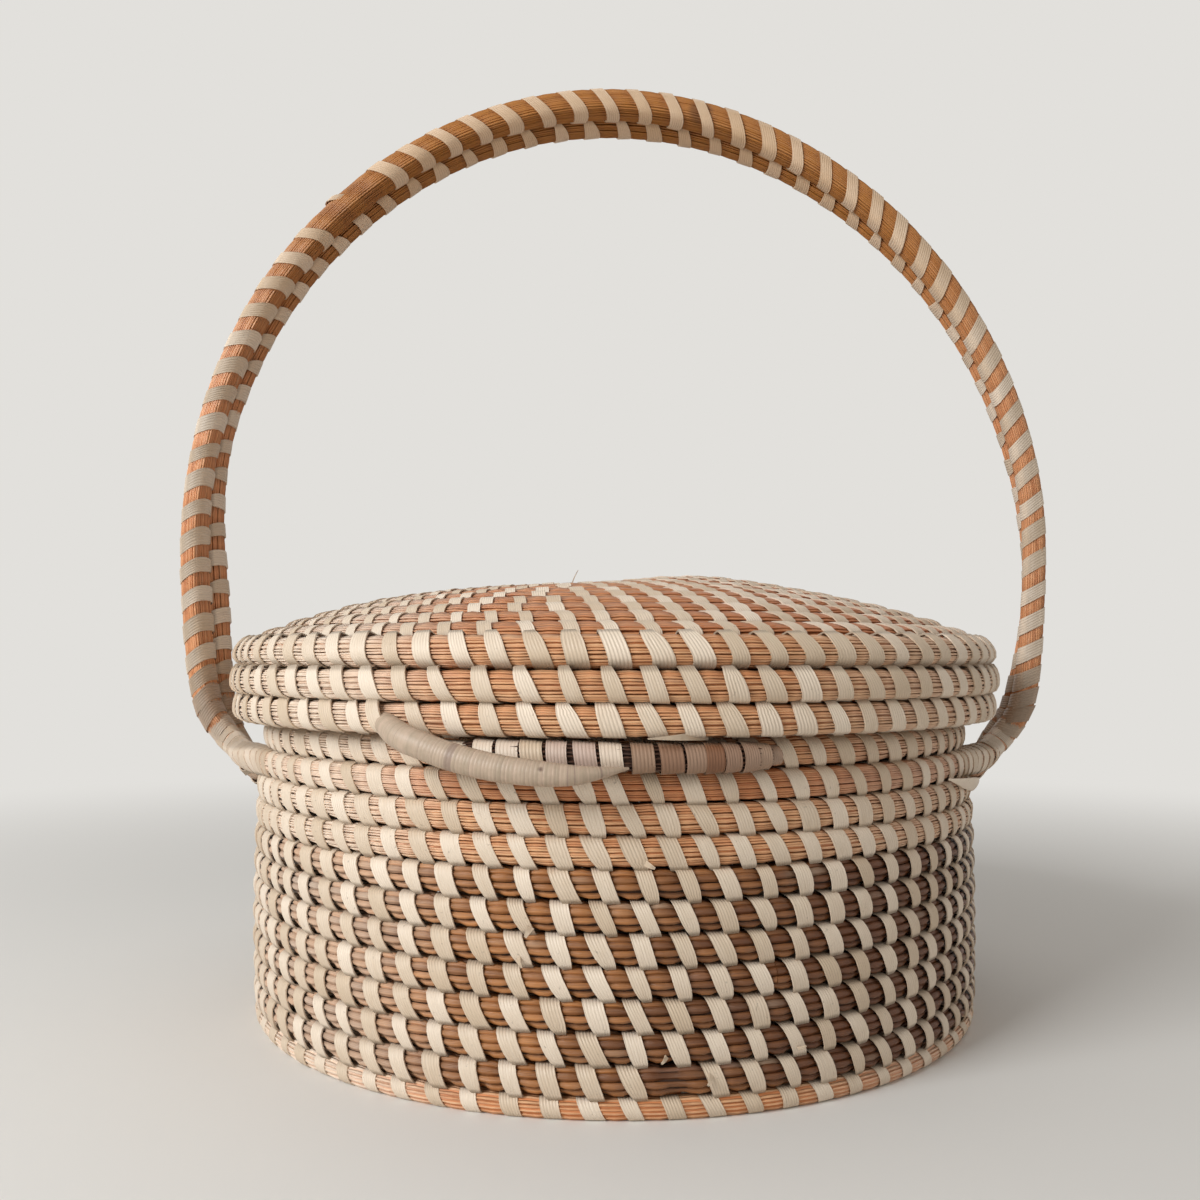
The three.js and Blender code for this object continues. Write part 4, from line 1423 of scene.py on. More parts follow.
def strip_loop(bite, tilt):
    """One stitch as a closed loop round a bundle of size 1, kept in an attribute.

    ring holds the share of the half size outwards, the share towards the next round, and the
    place across the strip. With a bite, the loop reaches on into the round before. With a tilt,
    one edge stands higher than the other.
    """
    low, high = 1 - tilt / 2, 1 + tilt / 2
    outside, inside = LOOP_OUTSIDE, LOOP_INSIDE
    corners = ((low + outside, -1), (high + outside, 1), (high - inside, 1), (low - inside, -1))
    ring, faces = [], []
    for k in range(LOOP_STEPS):
        angle = math.tau * k / LOOP_STEPS
        side, along = math.cos(angle), math.sin(angle)
        if bite and along < 0:
            side = math.copysign(abs(side) ** 0.5, side)
            along *= 1 + bite * along**2
        elif bite:
            square = 1 + LOOP_SQUARENESS * math.sin(2 * angle) ** 2
            side, along = side * square, along * square
        for size, across in corners:
            ring.append((side * size, along * size, across))
        here, there = k * len(corners), (k + 1) % LOOP_STEPS * len(corners)
        for j in range(len(corners)):
            following = (j + 1) % len(corners)
            faces.append((here + j, there + j, there + following, here + following))
    mesh = bpy.data.meshes.new("strip loop")
    mesh.from_pydata([(0, 0, 0)] * len(ring), [], faces)
    keep_vectors(mesh, "ring", ring)
    mesh.shade_smooth()
    for edge in mesh.edges:
        a, b = edge.vertices
        edge.use_edge_sharp = a // len(corners) != b // len(corners)
    return shown(mesh, "strip loop")


def socket_values(inputs):
    """A call's own inputs by the names that the trees give them."""
    return {key.replace("_", " ").title(): value for key, value in inputs.items()}


def hand_over(piece, body, slot, node=None):
    """Attaches a finished piece to its body and hides the solid that it stands for. The slot is not
    used.
    """
    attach(piece, body)
    if node:
        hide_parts(node)


def bundle(name, places, body, node, slot, finishes, pieces=1, **inputs):
    """A bundle of strands along a route, in as many pieces as its size needs."""
    strand, heart = finishes
    values = {"Strand Finish": strand, "Heart Finish": heart, **socket_values(inputs)}
    cuts = [round(k * (len(places) - 1) / pieces) for k in range(pieces + 1)]
    for number, (start, end) in enumerate(zip(cuts, cuts[1:])):
        label = name if pieces == 1 else f"{name}_{number + 1}"
        source = pattern_object(f"{label}_line", places[start : end + 1], True)
        hand_over(wound_mesh(bundle_tree(), source, values, label), body, slot, node)


def grass(name, places, body, node, finishes=None, **inputs):
    """A bundle of sweetgrass."""
    usual = {
        "strands": sizes().blades,
        "strand_radius": sizes().blade_radius,
        "sides": 3,
        "pinch": 0.045,
        "puff": 0.02,
        "wander": 0.3,
        "ragged": 0.12 * MM,
        "heart_share": 0.88,
    }
    finishes = finishes or (strand_finish("Sweetgrass blades"), strand_finish("Sweetgrass heart"))
    bundle(name, places, body, node, "sweetgrass", finishes, **{**usual, **inputs})


def rushes(name, places, body, node, **inputs):
    """A bundle of bulrush."""
    usual = {
        "strands": sizes().rods,
        "strand_radius": sizes().rod_radius,
        "sides": 6,
        "pinch": 0.09,
        "puff": 0.03,
        "wander": 0.32,
        "ragged": 0.28 * MM,
    }
    finishes = (strand_finish("Bulrush rods"), rush_heart())
    bundle(name, places, body, node, "bulrush", finishes, **{**usual, **inputs})


def stitches(name, stations, body, node=None, bite=0.28, tilt=0.035, **inputs):
    """Palmetto strips at the stations."""
    loop = strip_loop(bite, tilt)
    values = {
        "Strip": loop,
        "Width": sizes().strip_width,
        "Strip Finish": palmetto_finish(),
        **socket_values(inputs),
    }
    source = pattern_object(f"{name}_stations", stations, False)
    hand_over(wound_mesh(stitch_tree(), source, values, name), body, "palmetto", node)
    clear_away(loop)


def finger(name, places, finish, body, node, **inputs):
    """A closely wound or smooth finger of palmetto."""
    values = {"Strip Finish": finish, **socket_values(inputs)}
    source = pattern_object(f"{name}_line", places, True)
    hand_over(wound_mesh(finger_tree(), source, values, name), body, "palmetto", node)


def leaves(name, leaf_lines, body):
    """Loose bits of leaf, each a thin strip along a line with a width at its start and end."""
    vertices, faces, ring = [], [], []
    for line, start, end in leaf_lines:
        first = len(vertices)
        ways = tangents_of(line)
        for k, point in enumerate(line):
            out = square_out(point, ways[k])
            half = ways[k].cross(out) * blend(start, end, k / (len(line) - 1)) / 2
            for side, lift in ((-1, 0), (1, 0), (1, 1), (-1, 1)):
                vertices.append(point + half * side + out * LEAF_THICKNESS * lift)
                ring.append((0.0, 0.0, side))
        last = first + 4 * (len(line) - 1)
        for here in range(first, last, 4):
            for j in range(4):
                following = (j + 1) % 4
                faces.append((here + j, here + following, here + 4 + following, here + 4 + j))
        faces.append((first + 3, first + 2, first + 1, first))
        faces.append((last, last + 1, last + 2, last + 3))
    mesh = bpy.data.meshes.new(name)
    mesh.from_pydata(vertices, [], faces)
    keep_vectors(mesh, "ring", ring)
    keep_numbers(mesh, "tone", [LEAF_TONE] * len(vertices))
    mesh.materials.append(palmetto_finish())
    hand_over(shown(mesh, name), body, "palmetto")


def loose_ends(name, ends, body):
    """Loose leaf ends that curl out from between the rounds."""
    lines = []
    for first, second, start, end, curl in ends:
        points = []
        for share, lift in ((0, 0), (0.5, curl), (1, 0)):
            degrees, radius, height = (blend(a, b, share) for a, b in zip(first, second))
            points.append(around(math.radians(degrees - 90), (radius + lift) * MM, height * MM))
        lines.append((smooth_line(points, 4), start * MM, end * MM))
    leaves(name, lines, body)


# Finishes


class FinishNodes(Nodes):
    """Nodes of a finish."""

    def attribute(self, name, output="Fac"):
        return self.add("ShaderNodeAttribute", {"attribute_name": name}, {}, output)

    def place(self):
        return self.add("ShaderNodeTexCoord", {}, {}, "Object")

    def mixed(self, share, first, second):
        settings = {"data_type": "RGBA", "blend_type": "MIX", "clamp_factor": True}
        values = {"Factor_Float": share, "A_Color": first, "B_Color": second}
        return self.add("ShaderNodeMix", settings, values, "Result_Color")

    def mixed_shaders(self, share, first, second):
        return self.add("ShaderNodeMixShader", {}, {0: share, 1: first, 2: second})

    def bump(self, height, strength, distance):
        values = {"Height": height, "Strength": strength, "Distance": distance}
        return self.add("ShaderNodeBump", {}, values, "Normal")

    def near(self, place, mark):
        """1 at a mark, falling to 0 at its reach."""
        point, reach = mark
        away = self.vector("SUBTRACT", place, tuple(c * MM for c in point))
        return self.smooth(self.length(away), reach * 0.5, reach, 1.0, 0.0)

    def drive(self, shader, **wires):
        """Feeds a shader's sockets."""
        names = {"colour": "Base Color", "roughness": "Roughness", "normal": "Normal"}
        for key, wire in wires.items():
            self.tree.links.new(wire.socket, shader.inputs[names[key]])


def new_finish(name, roughness):
    material = bpy.data.materials.new(name)
    material.use_nodes = True
    shader = material.node_tree.nodes["Principled BSDF"]
    shader.inputs["Roughness"].default_value = roughness
    return material, FinishNodes(material.node_tree), shader


def opaque(colour):
    return (*colour, 1.0)


def shaded(colour, by):
    return opaque([channel * by for channel in colour])


@cache
def palmetto_finish():
    """Split palmetto leaf: pale, with fine ridges along the strip and a soft gloss."""
    palette = colours()
    dry = palette.palmetto_dry
    material, nodes, shader = new_finish("Palmetto strip", 0.5)
    _, along, across = nodes.parts(nodes.attribute("ring", "Vector"))
    tone = nodes.attribute("tone")
    tint = nodes.attribute("tint")
    place = nodes.place()
    streak = nodes.noise(nodes.joined(across * 3.2, along * 0.5, tone * 40), 1.6, 3.0, 0.6)
    blotch = nodes.noise(place, 160.0, 3.0, 0.55)
    share = nodes.smooth(tone * 0.62 + streak * 0.5 + blotch * 0.25, 0.28, 1.05)
    colour = nodes.mixed(share, opaque(palette.palmetto), opaque(dry))
    lines = (across * 19.0 + tone * 6).wave(2.0)
    colour = nodes.mixed(lines * 0.2, colour, shaded(dry, 0.62))
    specks = nodes.smooth(nodes.noise(place, 900.0), 0.66, 0.8)
    colour = nodes.mixed(specks * 0.5, colour, shaded(dry, 0.4))
    colour = nodes.mixed(tint, colour, opaque(palette.mauve))
    # Below zero, tint mixes in brown: partly strips that dried brown, partly painted shade on the bow's
    # right-hand wraps and the lower left leg
    colour = nodes.mixed(-tint, colour, opaque(palette.palmetto_brown))
    # Painted shade where the strip's ends tuck in under the neighbouring rounds
    tucked = nodes.smooth(along.size(), 0.8, 1.15)
    colour = nodes.mixed(tucked * 0.55, colour, shaded(dry, 0.34))
    high = nodes.smooth(nodes.parts(place)[2], *GOLDEN_STRIPS)
    colour = nodes.mixed(high * 0.6, colour, shaded(palette.sweetgrass, 0.66))
    ridges = (across * 19.0 + tone * 9 + streak * 2).sine() * 0.4 + streak * 0.9
    normal = nodes.bump(ridges, 0.55, 0.2 * MM)
    nodes.drive(shader, colour=colour, roughness=0.42 + blotch * 0.2, normal=normal)
    return material


def painted_sheen(nodes, place, patch, both_sides):
    """How much painted sheen the grass has at a place: paler colour standing in for light glancing off
    the blades.
    """
    x, y, z = nodes.parts(place)
    share = nodes.smooth(x, *SHEEN_LEFT, 1.0, 0.0)
    if both_sides:
        share = share.at_least(nodes.smooth(x, *SHEEN_RIGHT) * SHEEN_RIGHT_SHARE)
    share = share * (0.6 + patch * 0.7)
    share = share * nodes.smooth(x.size(), *SHEEN_OUT_TO, 1.0, 0.0)
    share = share * nodes.smooth(y, *SHEEN_BACK_TO, 1.0, SHEEN_BEHIND)
    return share * nodes.smooth(z, *SHEEN_UP_TO, 1.0, 0.0)


# Dried grasses: the lighter and the darker colour, the roughness, and how far the strands turn
# mauve in patches, take painted sheen at the sides, and take painted shade towards the right
GRASSES = {
    "Sweetgrass blades": ("sweetgrass", "sweetgrass_dark", 0.42, 0.15, 1.0, 0.0),
    "Sweetgrass heart": ("sweetgrass_dark", "dome_dark", 0.6, 0.15, 0.8, 0.0),
    "Handle blades": ("dome", "dome_dark", 0.42, 0.1, 0.9, 0.0),
    # Dome blades: darker colours partly painted shade between the dome's strips, and painted shade
    # towards the right
    "Dome blades": ("dome", "dome_dark", 0.42, 0.15, 0.9, 0.6),
    "Bulrush rods": ("bulrush", "bulrush_dark", 0.36, 0.3, 0.45, 0.62),
    # The bow's strands show only in the gaps between its wraps: painted dark as the shade there
    "Bow blades": ("bulrush_dark", "heart", 0.6, 0.0, 0.0, 0.0),
}


@cache
def strand_finish(name):
    """Dried grass: each strand has a colour of its own, streaked along its length.

    Grass with painted shade towards the right gets painted sheen on the left side only.
    """
    light_name, dark_name, roughness, mauve, sheen_strength, right_shade = GRASSES[name]
    palette = colours()
    light, dark = getattr(palette, light_name), getattr(palette, dark_name)
    material, nodes, shader = new_finish(name, roughness)
    strand = nodes.attribute("strand")
    phase = nodes.attribute("phase")
    turn = nodes.attribute("around")
    place = nodes.place()
    patch = nodes.noise(nodes.joined(strand * 37, phase * 0.22, 0.0), 1.0, 3.0, 0.65)
    streak = nodes.noise(nodes.joined(strand * 91, phase * 0.5, turn * 9), 1.3, 3.0, 0.6)
    cloud = nodes.noise(place, 30.0)
    x, _, z = nodes.parts(place)
    # Painted shade: the strands darken towards the right, away from the key light
    right = nodes.smooth(x, *RIGHT_SHADE)
    share = patch * 0.8 + streak * 0.5 + cloud * 0.5 + strand * 0.3 + right * right_shade
    colour = nodes.mixed(nodes.smooth(share, 0.6, 1.5), opaque(light), opaque(dark))
    pale = nodes.smooth(nodes.noise(nodes.joined(strand * 53, phase * 0.3, 4.0)), 0.6, 0.78)
    colour = nodes.mixed(pale * 0.45, colour, opaque(palette.palmetto_dry))
    dusky = nodes.smooth(nodes.noise(nodes.joined(strand * 71, phase * 0.16, 8.0)), 0.62, 0.75)
    colour = nodes.mixed(dusky * mauve, colour, shaded(palette.mauve, 0.8))
    # Painted sheen: the grass is paled where light would glance off it at the sides
    sheen_share = painted_sheen(nodes, place, patch, both_sides=not right_shade)
    colour = nodes.mixed(sheen_share * sheen_strength, colour, opaque(palette.faded))
    high = nodes.smooth(z, *GOLDEN_BLADES) * (0.62 + patch * 0.5)
    colour = nodes.mixed(high, colour, opaque(palette.golden))
    # Painted shade where the strands are drawn in under the stitches
    colour = nodes.mixed(nodes.attribute("tuck") * 0.35, colour, shaded(dark, 0.5))
    # Painted shade along the blades' creases; the same creases also feed the bump below
    crease = (turn * math.tau * 3 + strand * 40).wave(5.0)
    colour = nodes.mixed(crease * 0.22, colour, shaded(dark, 0.6))
    colour = nodes.mixed(nodes.near(place, ARCH_STAIN) * 0.5, colour, opaque(palette.stain))
    fine = nodes.noise(nodes.joined(strand * 17, phase * 1.4, turn * 26))
    nodes.drive(shader, colour=colour, normal=nodes.bump(fine - crease * 0.8, 0.5, 0.15 * MM))
    return material


def plain_heart(name, colour):
    """The shaded middle of a bundle, seen between its strands."""
    material, _, shader = new_finish(name, 0.9)
    shader.inputs["Base Color"].default_value = colour
    return material


@cache
def dome_heart():
    return plain_heart("Dome heart", shaded(colours().dome_dark, 0.7))


@cache
def rush_heart():
    return plain_heart("Bulrush heart", opaque(colours().heart))


@cache
def tongue_finish():
    """Narrow strip wound closely: pale turns with a dark line between them."""
    palette = colours()
    material, nodes, shader = new_finish("Wound strip", 0.5)
    groove = nodes.attribute("groove")
    along = nodes.attribute("along")
    place = nodes.place()
    band = nodes.noise(nodes.joined(along * 30, 0.0, 0.0))
    grain = nodes.noise(place, 700.0)
    share = nodes.smooth(band + grain * 0.4, 0.35, 1.0)
    grey = nodes.mixed(0.3, shaded(palette.palmetto_dry, 0.95), opaque(palette.mauve))
    colour = nodes.mixed(share, grey, shaded(palette.palmetto_dry, 0.62))
    lines = nodes.smooth(groove, 0.7, 1.0)
    colour = nodes.mixed(lines * 0.6, colour, shaded(palette.mauve, 0.5))
    wide = nodes.smooth((along * 13 + band * 1.5).sine(), 0.97, 1.0)
    colour = nodes.mixed(wide * 0.5, colour, shaded(palette.mauve, 0.4))
    colour = nodes.mixed(nodes.near(place, TONGUE_MARK), colour, opaque(palette.stain))
    nodes.drive(shader, colour=colour, normal=nodes.bump(grain, 0.25, 0.1 * MM))
    return material


# Pieces


def knot(name, node, body, seed):
    """A start knot: a bundle curled round itself, sewn from its middle."""
    low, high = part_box(node)
    radius = (high.x - low.x) / 2
    half_height = (high.z - low.z) / 2
    places = []
    for k in range(KNOT_STEPS + 1):
        share = k / KNOT_STEPS
        angle = share * KNOT_TURNS * math.tau
        coil = blend(0.3, 0.5, share) * radius
        reach = blend(0.12 * radius, radius - coil, share**0.8)
        places.append(
            Place(
                point=around(angle, reach, (low.z + high.z) / 2),
                out=UP.copy(),
                stack=around(angle, 1.0, 0.0),
                half_out=half_height * blend(0.8, 0.94, share),
                half_stack=coil,
                phase=share * KNOT_TURNS * KNOT_STITCHES,
                breadth=blend(0.35, 0.6, share),
            )
        )
    grass(name, places, body, node, strands=THIN_STRANDS, seed=seed)
    stitches(f"{name}_stitches", stations_on(places), body, seed=seed + 1)


class BASKET_OT_floor(bpy.types.Operator):
    """Winds the floor, its start knot and the foot round"""

    bl_idname = "basket.wind_floor"
    bl_label = "Wind Floor"

    def execute(self, context):
        last = FLOOR_ROUNDS - 1 + LEVEL_SHARE
        places = wound(floor_round, 0, last, WALL_COIL, floor_stitches, FLOOR_STEP, (True, True))
        thick = {"strands": THIN_STRANDS, "strand_radius": 0.9 * MM}
        grass("floor_coil", places, "basket", "base_coil", seed=3, **thick)
        stitches("floor_stitches", stations_on(places), "basket", seed=4)
        knot("floor_knot", "base_centre_knot", "basket", 5)

        def foot(number):
            return upright(FOOT_RADIUS, FOOT_COIL / 2)

        count = steady(sizes().bulrush_stitches)
        places = wound(foot, 0, 1, FOOT_COIL, count, FOOT_STEP, outwards=-1)
        grass("foot_round", places, "basket", "foot_coil", seed=6, strands=THIN_STRANDS)
        stitches("foot_stitches", stations_on(places), "basket", seed=7, bite=0.0)
        return {"FINISHED"}


def wider_at_left(stations):
    """The same stations, with wider strips round the basket's left side."""
    wide = []
    for place in stations:
        share = within(-front_angle(place.point), WIDER_BEGIN, WIDER_END)
        wide.append(replace(place, breadth=place.breadth * (1 + WIDER_BY * share)))
    return wide


def missing(place):
    """Whether a stitch is the one that is lost from the lowest round."""
    lowest = place.point.z < FIRST_HEIGHT + WALL_PITCH / 2
    return lowest and MISSING_STITCH[0] < front_angle(place.point) < MISSING_STITCH[1]


class BASKET_OT_wall(bpy.types.Operator):
    """Winds the bulrush and the sweetgrass rounds of the wall"""

    bl_idname = "basket.wind_wall"
    bl_label = "Wind Wall"

    def execute(self, context):
        count = steady(sizes().bulrush_stitches)
        places = wall_rounds(wall_round, 0, BULRUSH_ROUNDS, count, RUSH_STEP, (True, False))
        rushes("bulrush_rounds", places, "basket", "wall_bulrush_coil", pieces=2, seed=11)
        sewn = wider_at_left(stations_on(places, missing))
        stitches("bulrush_stitches", sewn, "basket", seed=12)

        count = steady(sizes().grass_stitches)
        last = WALL_ROUNDS - CLIMB_SHARE
        places = wall_rounds(wall_round, BULRUSH_ROUNDS, last, count, GRASS_STEP, (False, True))
        grass("sweetgrass_rounds", places, "basket", "wall_sweetgrass_coil", seed=21)
        sewn = wider_at_left(stations_on(places))
        stitches("sweetgrass_stitches", sewn, "basket", seed=22, width=sizes().wide_strip)
        return {"FINISHED"}


class BASKET_OT_rim(bpy.types.Operator):
    """Winds the rim and the neck that the lid sits over"""

    bl_idname = "basket.wind_rim"
    bl_label = "Wind Rim and Neck"

    def execute(self, context):
        def rim(number):
            return upright(RIM_RADIUS, RIM_HEIGHT)

        places = wall_rounds(rim, 0, 1, steady(sizes().grass_stitches), GRASS_STEP)
        grass("rim_round", places, "basket", "rim_coil", seed=31)
        sewn = wider_at_left(stations_on(places))
        stitches("rim_stitches", sewn, "basket", seed=32, width=sizes().wide_strip)

        last = NECK_ROUNDS - CLIMB_SHARE
        count = steady(NECK_STITCHES)
        places = wound(neck_round, 0, last, NECK_COIL, count, NECK_STEP, (True, True), -1)
        thick = {"strands": 12, "strand_radius": 0.8 * MM}
        grass("neck_rounds", places, "basket", "neck_coil", seed=33, **thick)
        stitches("neck_stitches", stations_on(places), "basket", seed=34)
        return {"FINISHED"}


def broken_stitch(places):
    """The stub of a broken stitch, held by the arch's outer side."""
    over = [place for place in places if place.point.z > ARCH_LOWEST]
    place = min(over, key=lambda place: abs(place.point.x - BROKEN_STITCH))
    middle = place.point + place.out * place.half_out * 0.5 + place.stack * place.half_stack * 0.15
    half_out, half_stack = place.half_out * 0.56, place.half_stack * 0.8
    return replace(place, point=middle, half_out=half_out, half_stack=half_stack, breadth=0.7)


def worn_away(place):
    """Whether a stitch lies on the bare stretch of the arch's front coil."""
    return place.point.z > ARCH_LOWEST and BARE_STRETCH[0] < place.point.x < BARE_STRETCH[1]


def handle_coil(name, foot, towards, seed):
    """One of the handle's coils with its windings. towards is -1 for the front coil."""
    places = handle_places(foot, towards)
    tight = {"strands": 42, "pinch": 0.02, "puff": 0.0, "ragged": 0.08 * MM, "wander": 0.12}
    finishes = (strand_finish("Handle blades"), strand_finish("Sweetgrass heart"))
    grass(f"{name}_bundle", places, "basket", f"{name}_coil", finishes, seed=seed, **tight)
    sewn = stations_on(places, worn_away if towards < 0 else never)
    if towards < 0:
        sewn.append(broken_stitch(places))
    stitches(f"{name}_stitches", sewn, "basket", seed=seed + 1)


def handle_filler(side, middle, turn):
    """The short coil that closes the wall behind the handle's feet on one side."""
    radius = wall_radius(RING_HEIGHT)
    stations = []
    for degrees, share in FILLER_PLACES:
        inset = WALL_REACH * (1 - share)
        stations.append((middle + turn * degrees, radius - inset, RING_HEIGHT, share))
    places = short_places(stations, WALL_COIL)
    name = f"handle_filler_{side}"
    grass(f"{name}_bundle", places, "basket", name, seed=47)
    stitches(f"{name}_stitches", stations_on(places), "basket", seed=48)


def wall_tail():
    """The pale end of a coil, flat, and leaning out at its lower edge."""
    places = []
    for place in short_places(in_metres(TAIL_PLACES), TAIL_COIL):
        out = place.out * math.cos(TAIL_TILT) - place.stack * math.sin(TAIL_TILT)
        places.append(replace(place, out=out))
    shape = {"turns": 1.0, "ridge": 0.0, "flat": TAIL_FLATNESS}
    finger("wall_tail", places, palmetto_finish(), "basket", "wall_coil_tail", **shape)


class BASKET_OT_handle(bpy.types.Operator):
    """Raises the two coils of the handle, with the fillers and the tail at their feet"""

    bl_idname = "basket.raise_handle"
    bl_label = "Raise Handle"

    def execute(self, context):
        handle_coil("handle_front", FRONT_FOOT, -1, 41)
        handle_coil("handle_rear", REAR_FOOT, 1, 44)
        handle_filler("left", 180, -1)
        handle_filler("right", 0, 1)
        wall_tail()
        loose_ends("wall_loose_ends", WALL_ENDS, "basket")
        return {"FINISHED"}


class BASKET_OT_keeper(bpy.types.Operator):
    """Wraps the keeper bow on the front of the rim"""

    bl_idname = "basket.wrap_keeper"
    bl_label = "Wrap Keeper"

    def execute(self, context):
        places = bow_places()
        tight = {"strands": 18, "pinch": 0.0, "puff": 0.0, "ragged": 0.15 * MM}
        # Painted shade: the bow's strands are dark where they show between the wraps
        finishes = (strand_finish("Bow blades"), rush_heart())
        grass("keeper_bundle", places, "basket", "keeper_bow", finishes, seed=51, **tight)
        wraps = []
        for degrees, width, lean, tint in BOW_WRAPS:
            place = min(places, key=lambda place: abs(place.phase - degrees))
            breadth = width * MM / sizes().strip_width
            wraps.append(replace(place, breadth=breadth, lean_stack=lean * MM, tint=tint))
        even = {"snug": 1.0, "sway": 0.12 * MM, "fold": 0.0, "narrowest": 0.98, "widest": 1.02}
        stitches("keeper_wraps", wraps, "basket", "keeper_wrap", 0.0, 0.13, seed=52, **even)
        return {"FINISHED"}


def root_stitch():
    """The stitch that holds the tongue's root against the skirt's lowest round."""
    lowest = lid_round(SHOULDER_ROUND + SKIRT_ROUNDS - 1)
    angle = math.radians(ROOT_STITCH - 90)
    return Place(
        point=around(angle, lowest.radius, lowest.height),
        out=around(angle, 1.0, 0.0),
        stack=-UP,
        half_out=ROOT_REACH - lowest.radius,
        half_stack=LID_COIL / 2 + ROUND_GAP,
        phase=0.0,
        lean_stack=sizes().strip_slant,
    )


def at_root(place):
    """Whether a stitch of the skirt would lie under the tongue's root."""
    lowest = place.point.z < SHOULDER_HEIGHT - (SKIRT_ROUNDS - 1.5) * LID_PITCH
    return lowest and abs(front_angle(place.point) - ROOT_STITCH) < ROOT_ROOM


class BASKET_OT_lid(bpy.types.Operator):
    """Winds the lid's dome and skirt from its start knot"""

    bl_idname = "basket.wind_lid"
    bl_label = "Wind Lid"

    def execute(self, context):
        wide = sizes().lid_strip
        dome = lid_rounds(0, SHOULDER_ROUND, (True, False))
        thick = {"strands": 28, "strand_radius": 0.5 * MM}
        finishes = (strand_finish("Dome blades"), dome_heart())
        grass("lid_dome", dome, "lid", "lid_dome_coil", finishes, pieces=2, seed=61, **thick)
        narrow = wide * DOME_STRIP_SHARE
        stitches("lid_dome_stitches", stations_on(dome), "lid", seed=62, width=narrow)

        last = SHOULDER_ROUND + SKIRT_ROUNDS - CLIMB_SHARE
        skirt = lid_rounds(SHOULDER_ROUND, last, (False, True))
        grass("lid_skirt", skirt, "lid", "lid_skirt_coil", seed=63, puff=0.0, ragged=0.08 * MM)
        sewn = [*stations_on(skirt, at_root), root_stitch()]
        stitches("lid_skirt_stitches", sewn, "lid", seed=64, width=wide)
        loose_ends("lid_loose_ends", LID_ENDS, "lid")
        knot("lid_knot", "lid_centre_knot", "lid_middle", 65)
        return {"FINISHED"}


class BASKET_OT_tongue(bpy.types.Operator):
    """Winds the lid's tongue and its springy tip"""

    bl_idname = "basket.wind_tongue"
    bl_label = "Wind Tongue"

    def execute(self, context):
        for name, stations, turns, node in (
            ("tongue", TONGUE_PLACES, TONGUE_TURNS, "lid_tongue"),
            ("tongue_tip", TIP_PLACES, TIP_TURNS, "lid_tongue_tip"),
        ):
            places = short_places(in_metres(stations), TONGUE_COIL, from_front=-90.0)
            finger(name, places, tongue_finish(), "lid", node, turns=turns)
        return {"FINISHED"}


# Stage


def stage_floor():
    """A wide plain floor."""
    half = STAGE_HALF_WIDTH
    square = [(-half, -half, 0), (half, -half, 0), (half, half, 0), (-half, half, 0)]
    mesh = bpy.data.meshes.new("stage floor")
    mesh.from_pydata(square, [], [(0, 1, 2, 3)])
    mesh.materials.append(floor_finish())
    shown(mesh, "stage_floor")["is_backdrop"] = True


def floor_finish():
    """A plain floor that runs into the background away from the basket."""
    plain_colour = opaque(colours().floor)
    material, nodes, shader = new_finish("Plain floor", 0.75)
    shader.inputs["Base Color"].default_value = plain_colour
    seen = nodes.add("ShaderNodeLightPath", {}, {}, "Is Camera Ray")
    share = nodes.smooth(nodes.length(nodes.place()), *STAGE_FADES) * seen
    glow = nodes.add("ShaderNodeEmission", {}, {"Color": plain_colour, "Strength": 1.0})
    both = nodes.mixed_shaders(share, Wire(nodes, shader.outputs["BSDF"]), glow)
    output = material.node_tree.nodes["Material Output"]
    material.node_tree.links.new(both.socket, output.inputs["Surface"])
    return material


def studio_air(scene):
    """Soft light from all round, and a pale background where the camera looks past the floor."""
    world = bpy.data.worlds.new("studio air")
    scene.world = world
    world.use_nodes = True
    nodes = FinishNodes(world.node_tree)
    path = nodes.add("ShaderNodeLightPath", {}, {}, "Is Camera Ray")
    seen = path.at_least(path.other("Is Glossy Ray")).at_least(path.other("Is Transmission Ray"))
    light = {"Color": AIR_COLOUR, "Strength": AIR_STRENGTH}
    background = {"Color": opaque(colours().floor), "Strength": 1.0}
    dim = nodes.add("ShaderNodeBackground", {}, light)
    bright = nodes.add("ShaderNodeBackground", {}, background)
    both = nodes.mixed_shaders(seen, dim, bright)
    output = world.node_tree.nodes["World Output"]
    world.node_tree.links.new(both.socket, output.inputs["Surface"])


def hang_lamp(scene, name, place, size, power, colour):
    """A square lamp that faces the basket."""
    lamp = bpy.data.lights.new(name, "AREA")
    lamp.size = size
    lamp.energy = power
    lamp.color = colour
    holder = bpy.data.objects.new(name, lamp)
    holder.location = place
    aim = LAMPS_AIM - Vector(place)
    holder.rotation_euler = aim.to_track_quat("-Z", "Y").to_euler()
    scene.collection.objects.link(holder)


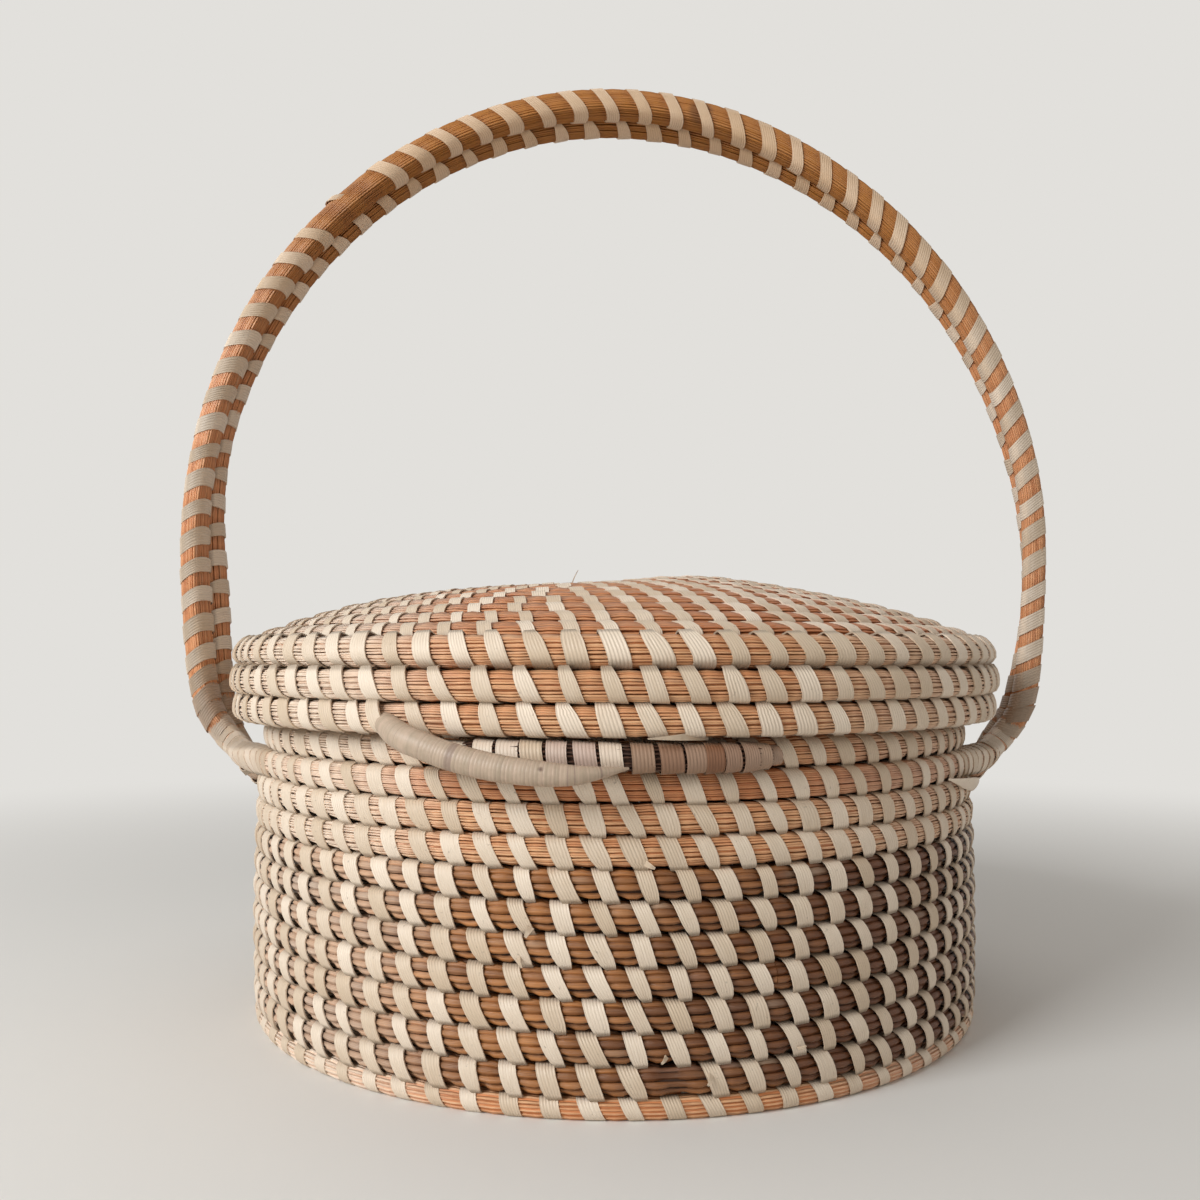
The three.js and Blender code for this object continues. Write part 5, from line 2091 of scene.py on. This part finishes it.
def place_camera(scene):
    """The camera where the photograph was taken from."""
    camera = bpy.data.cameras.new("camera")
    camera.sensor_width = SENSOR_WIDTH
    camera.lens = SENSOR_WIDTH * FOCAL_PIXELS / FRAME_PIXELS
    camera.clip_start = CAMERA_NEAR
    holder = bpy.data.objects.new("camera", camera)
    holder.location = (0, -CAMERA_DISTANCE, CAMERA_HEIGHT)
    rise = math.atan(CAMERA_RISE_PIXELS / FOCAL_PIXELS)
    turn = math.atan(CAMERA_TURN_PIXELS / FOCAL_PIXELS)
    holder.rotation_euler = (math.pi / 2 + rise, 0, turn)
    scene.collection.objects.link(holder)
    scene.camera = holder


class BASKET_OT_stage(bpy.types.Operator):
    """Sets up the floor, the light and the camera"""

    bl_idname = "basket.set_stage"
    bl_label = "Set Stage"

    def execute(self, context):
        scene = context.scene
        scene.view_settings.view_transform = "Standard"
        stage_floor()
        for lamp in LAMPS:
            hang_lamp(scene, *lamp)
        studio_air(scene)
        place_camera(scene)
        return {"FINISHED"}


OPERATORS = (
    BASKET_OT_floor,
    BASKET_OT_wall,
    BASKET_OT_rim,
    BASKET_OT_handle,
    BASKET_OT_keeper,
    BASKET_OT_lid,
    BASKET_OT_tongue,
    BASKET_OT_stage,
)


class VIEW3D_PT_basket(bpy.types.Panel):
    """Sizes, colours and the steps that make the basket"""

    bl_label = "Coiled Basket"
    bl_space_type = "VIEW_3D"
    bl_region_type = "UI"
    bl_category = "Basket"

    def draw(self, context):
        layout = self.layout
        for group in (context.scene.basket_sizes, context.scene.basket_colours):
            for name in group.__annotations__:
                layout.prop(group, name)
        for operator in OPERATORS:
            layout.operator(operator.bl_idname)


CLASSES = (BasketSizes, BasketColours, *OPERATORS, VIEW3D_PT_basket)


def register():
    for entry in CLASSES:
        bpy.utils.register_class(entry)
    bpy.types.Scene.basket_sizes = bpy.props.PointerProperty(type=BasketSizes)
    bpy.types.Scene.basket_colours = bpy.props.PointerProperty(type=BasketColours)


def unregister():
    del bpy.types.Scene.basket_colours
    del bpy.types.Scene.basket_sizes
    for entry in reversed(CLASSES):
        bpy.utils.unregister_class(entry)


def corners(box):
    return [list(corner) for corner in box]


def main():
    register()
    cad = corners(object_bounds())
    for operator in OPERATORS:
        group, action = operator.bl_idname.split(".")
        getattr(getattr(bpy.ops, group), action)()
    {"cad": cad, "visual": corners(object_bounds())}


if __name__ == "__main__":
    main()
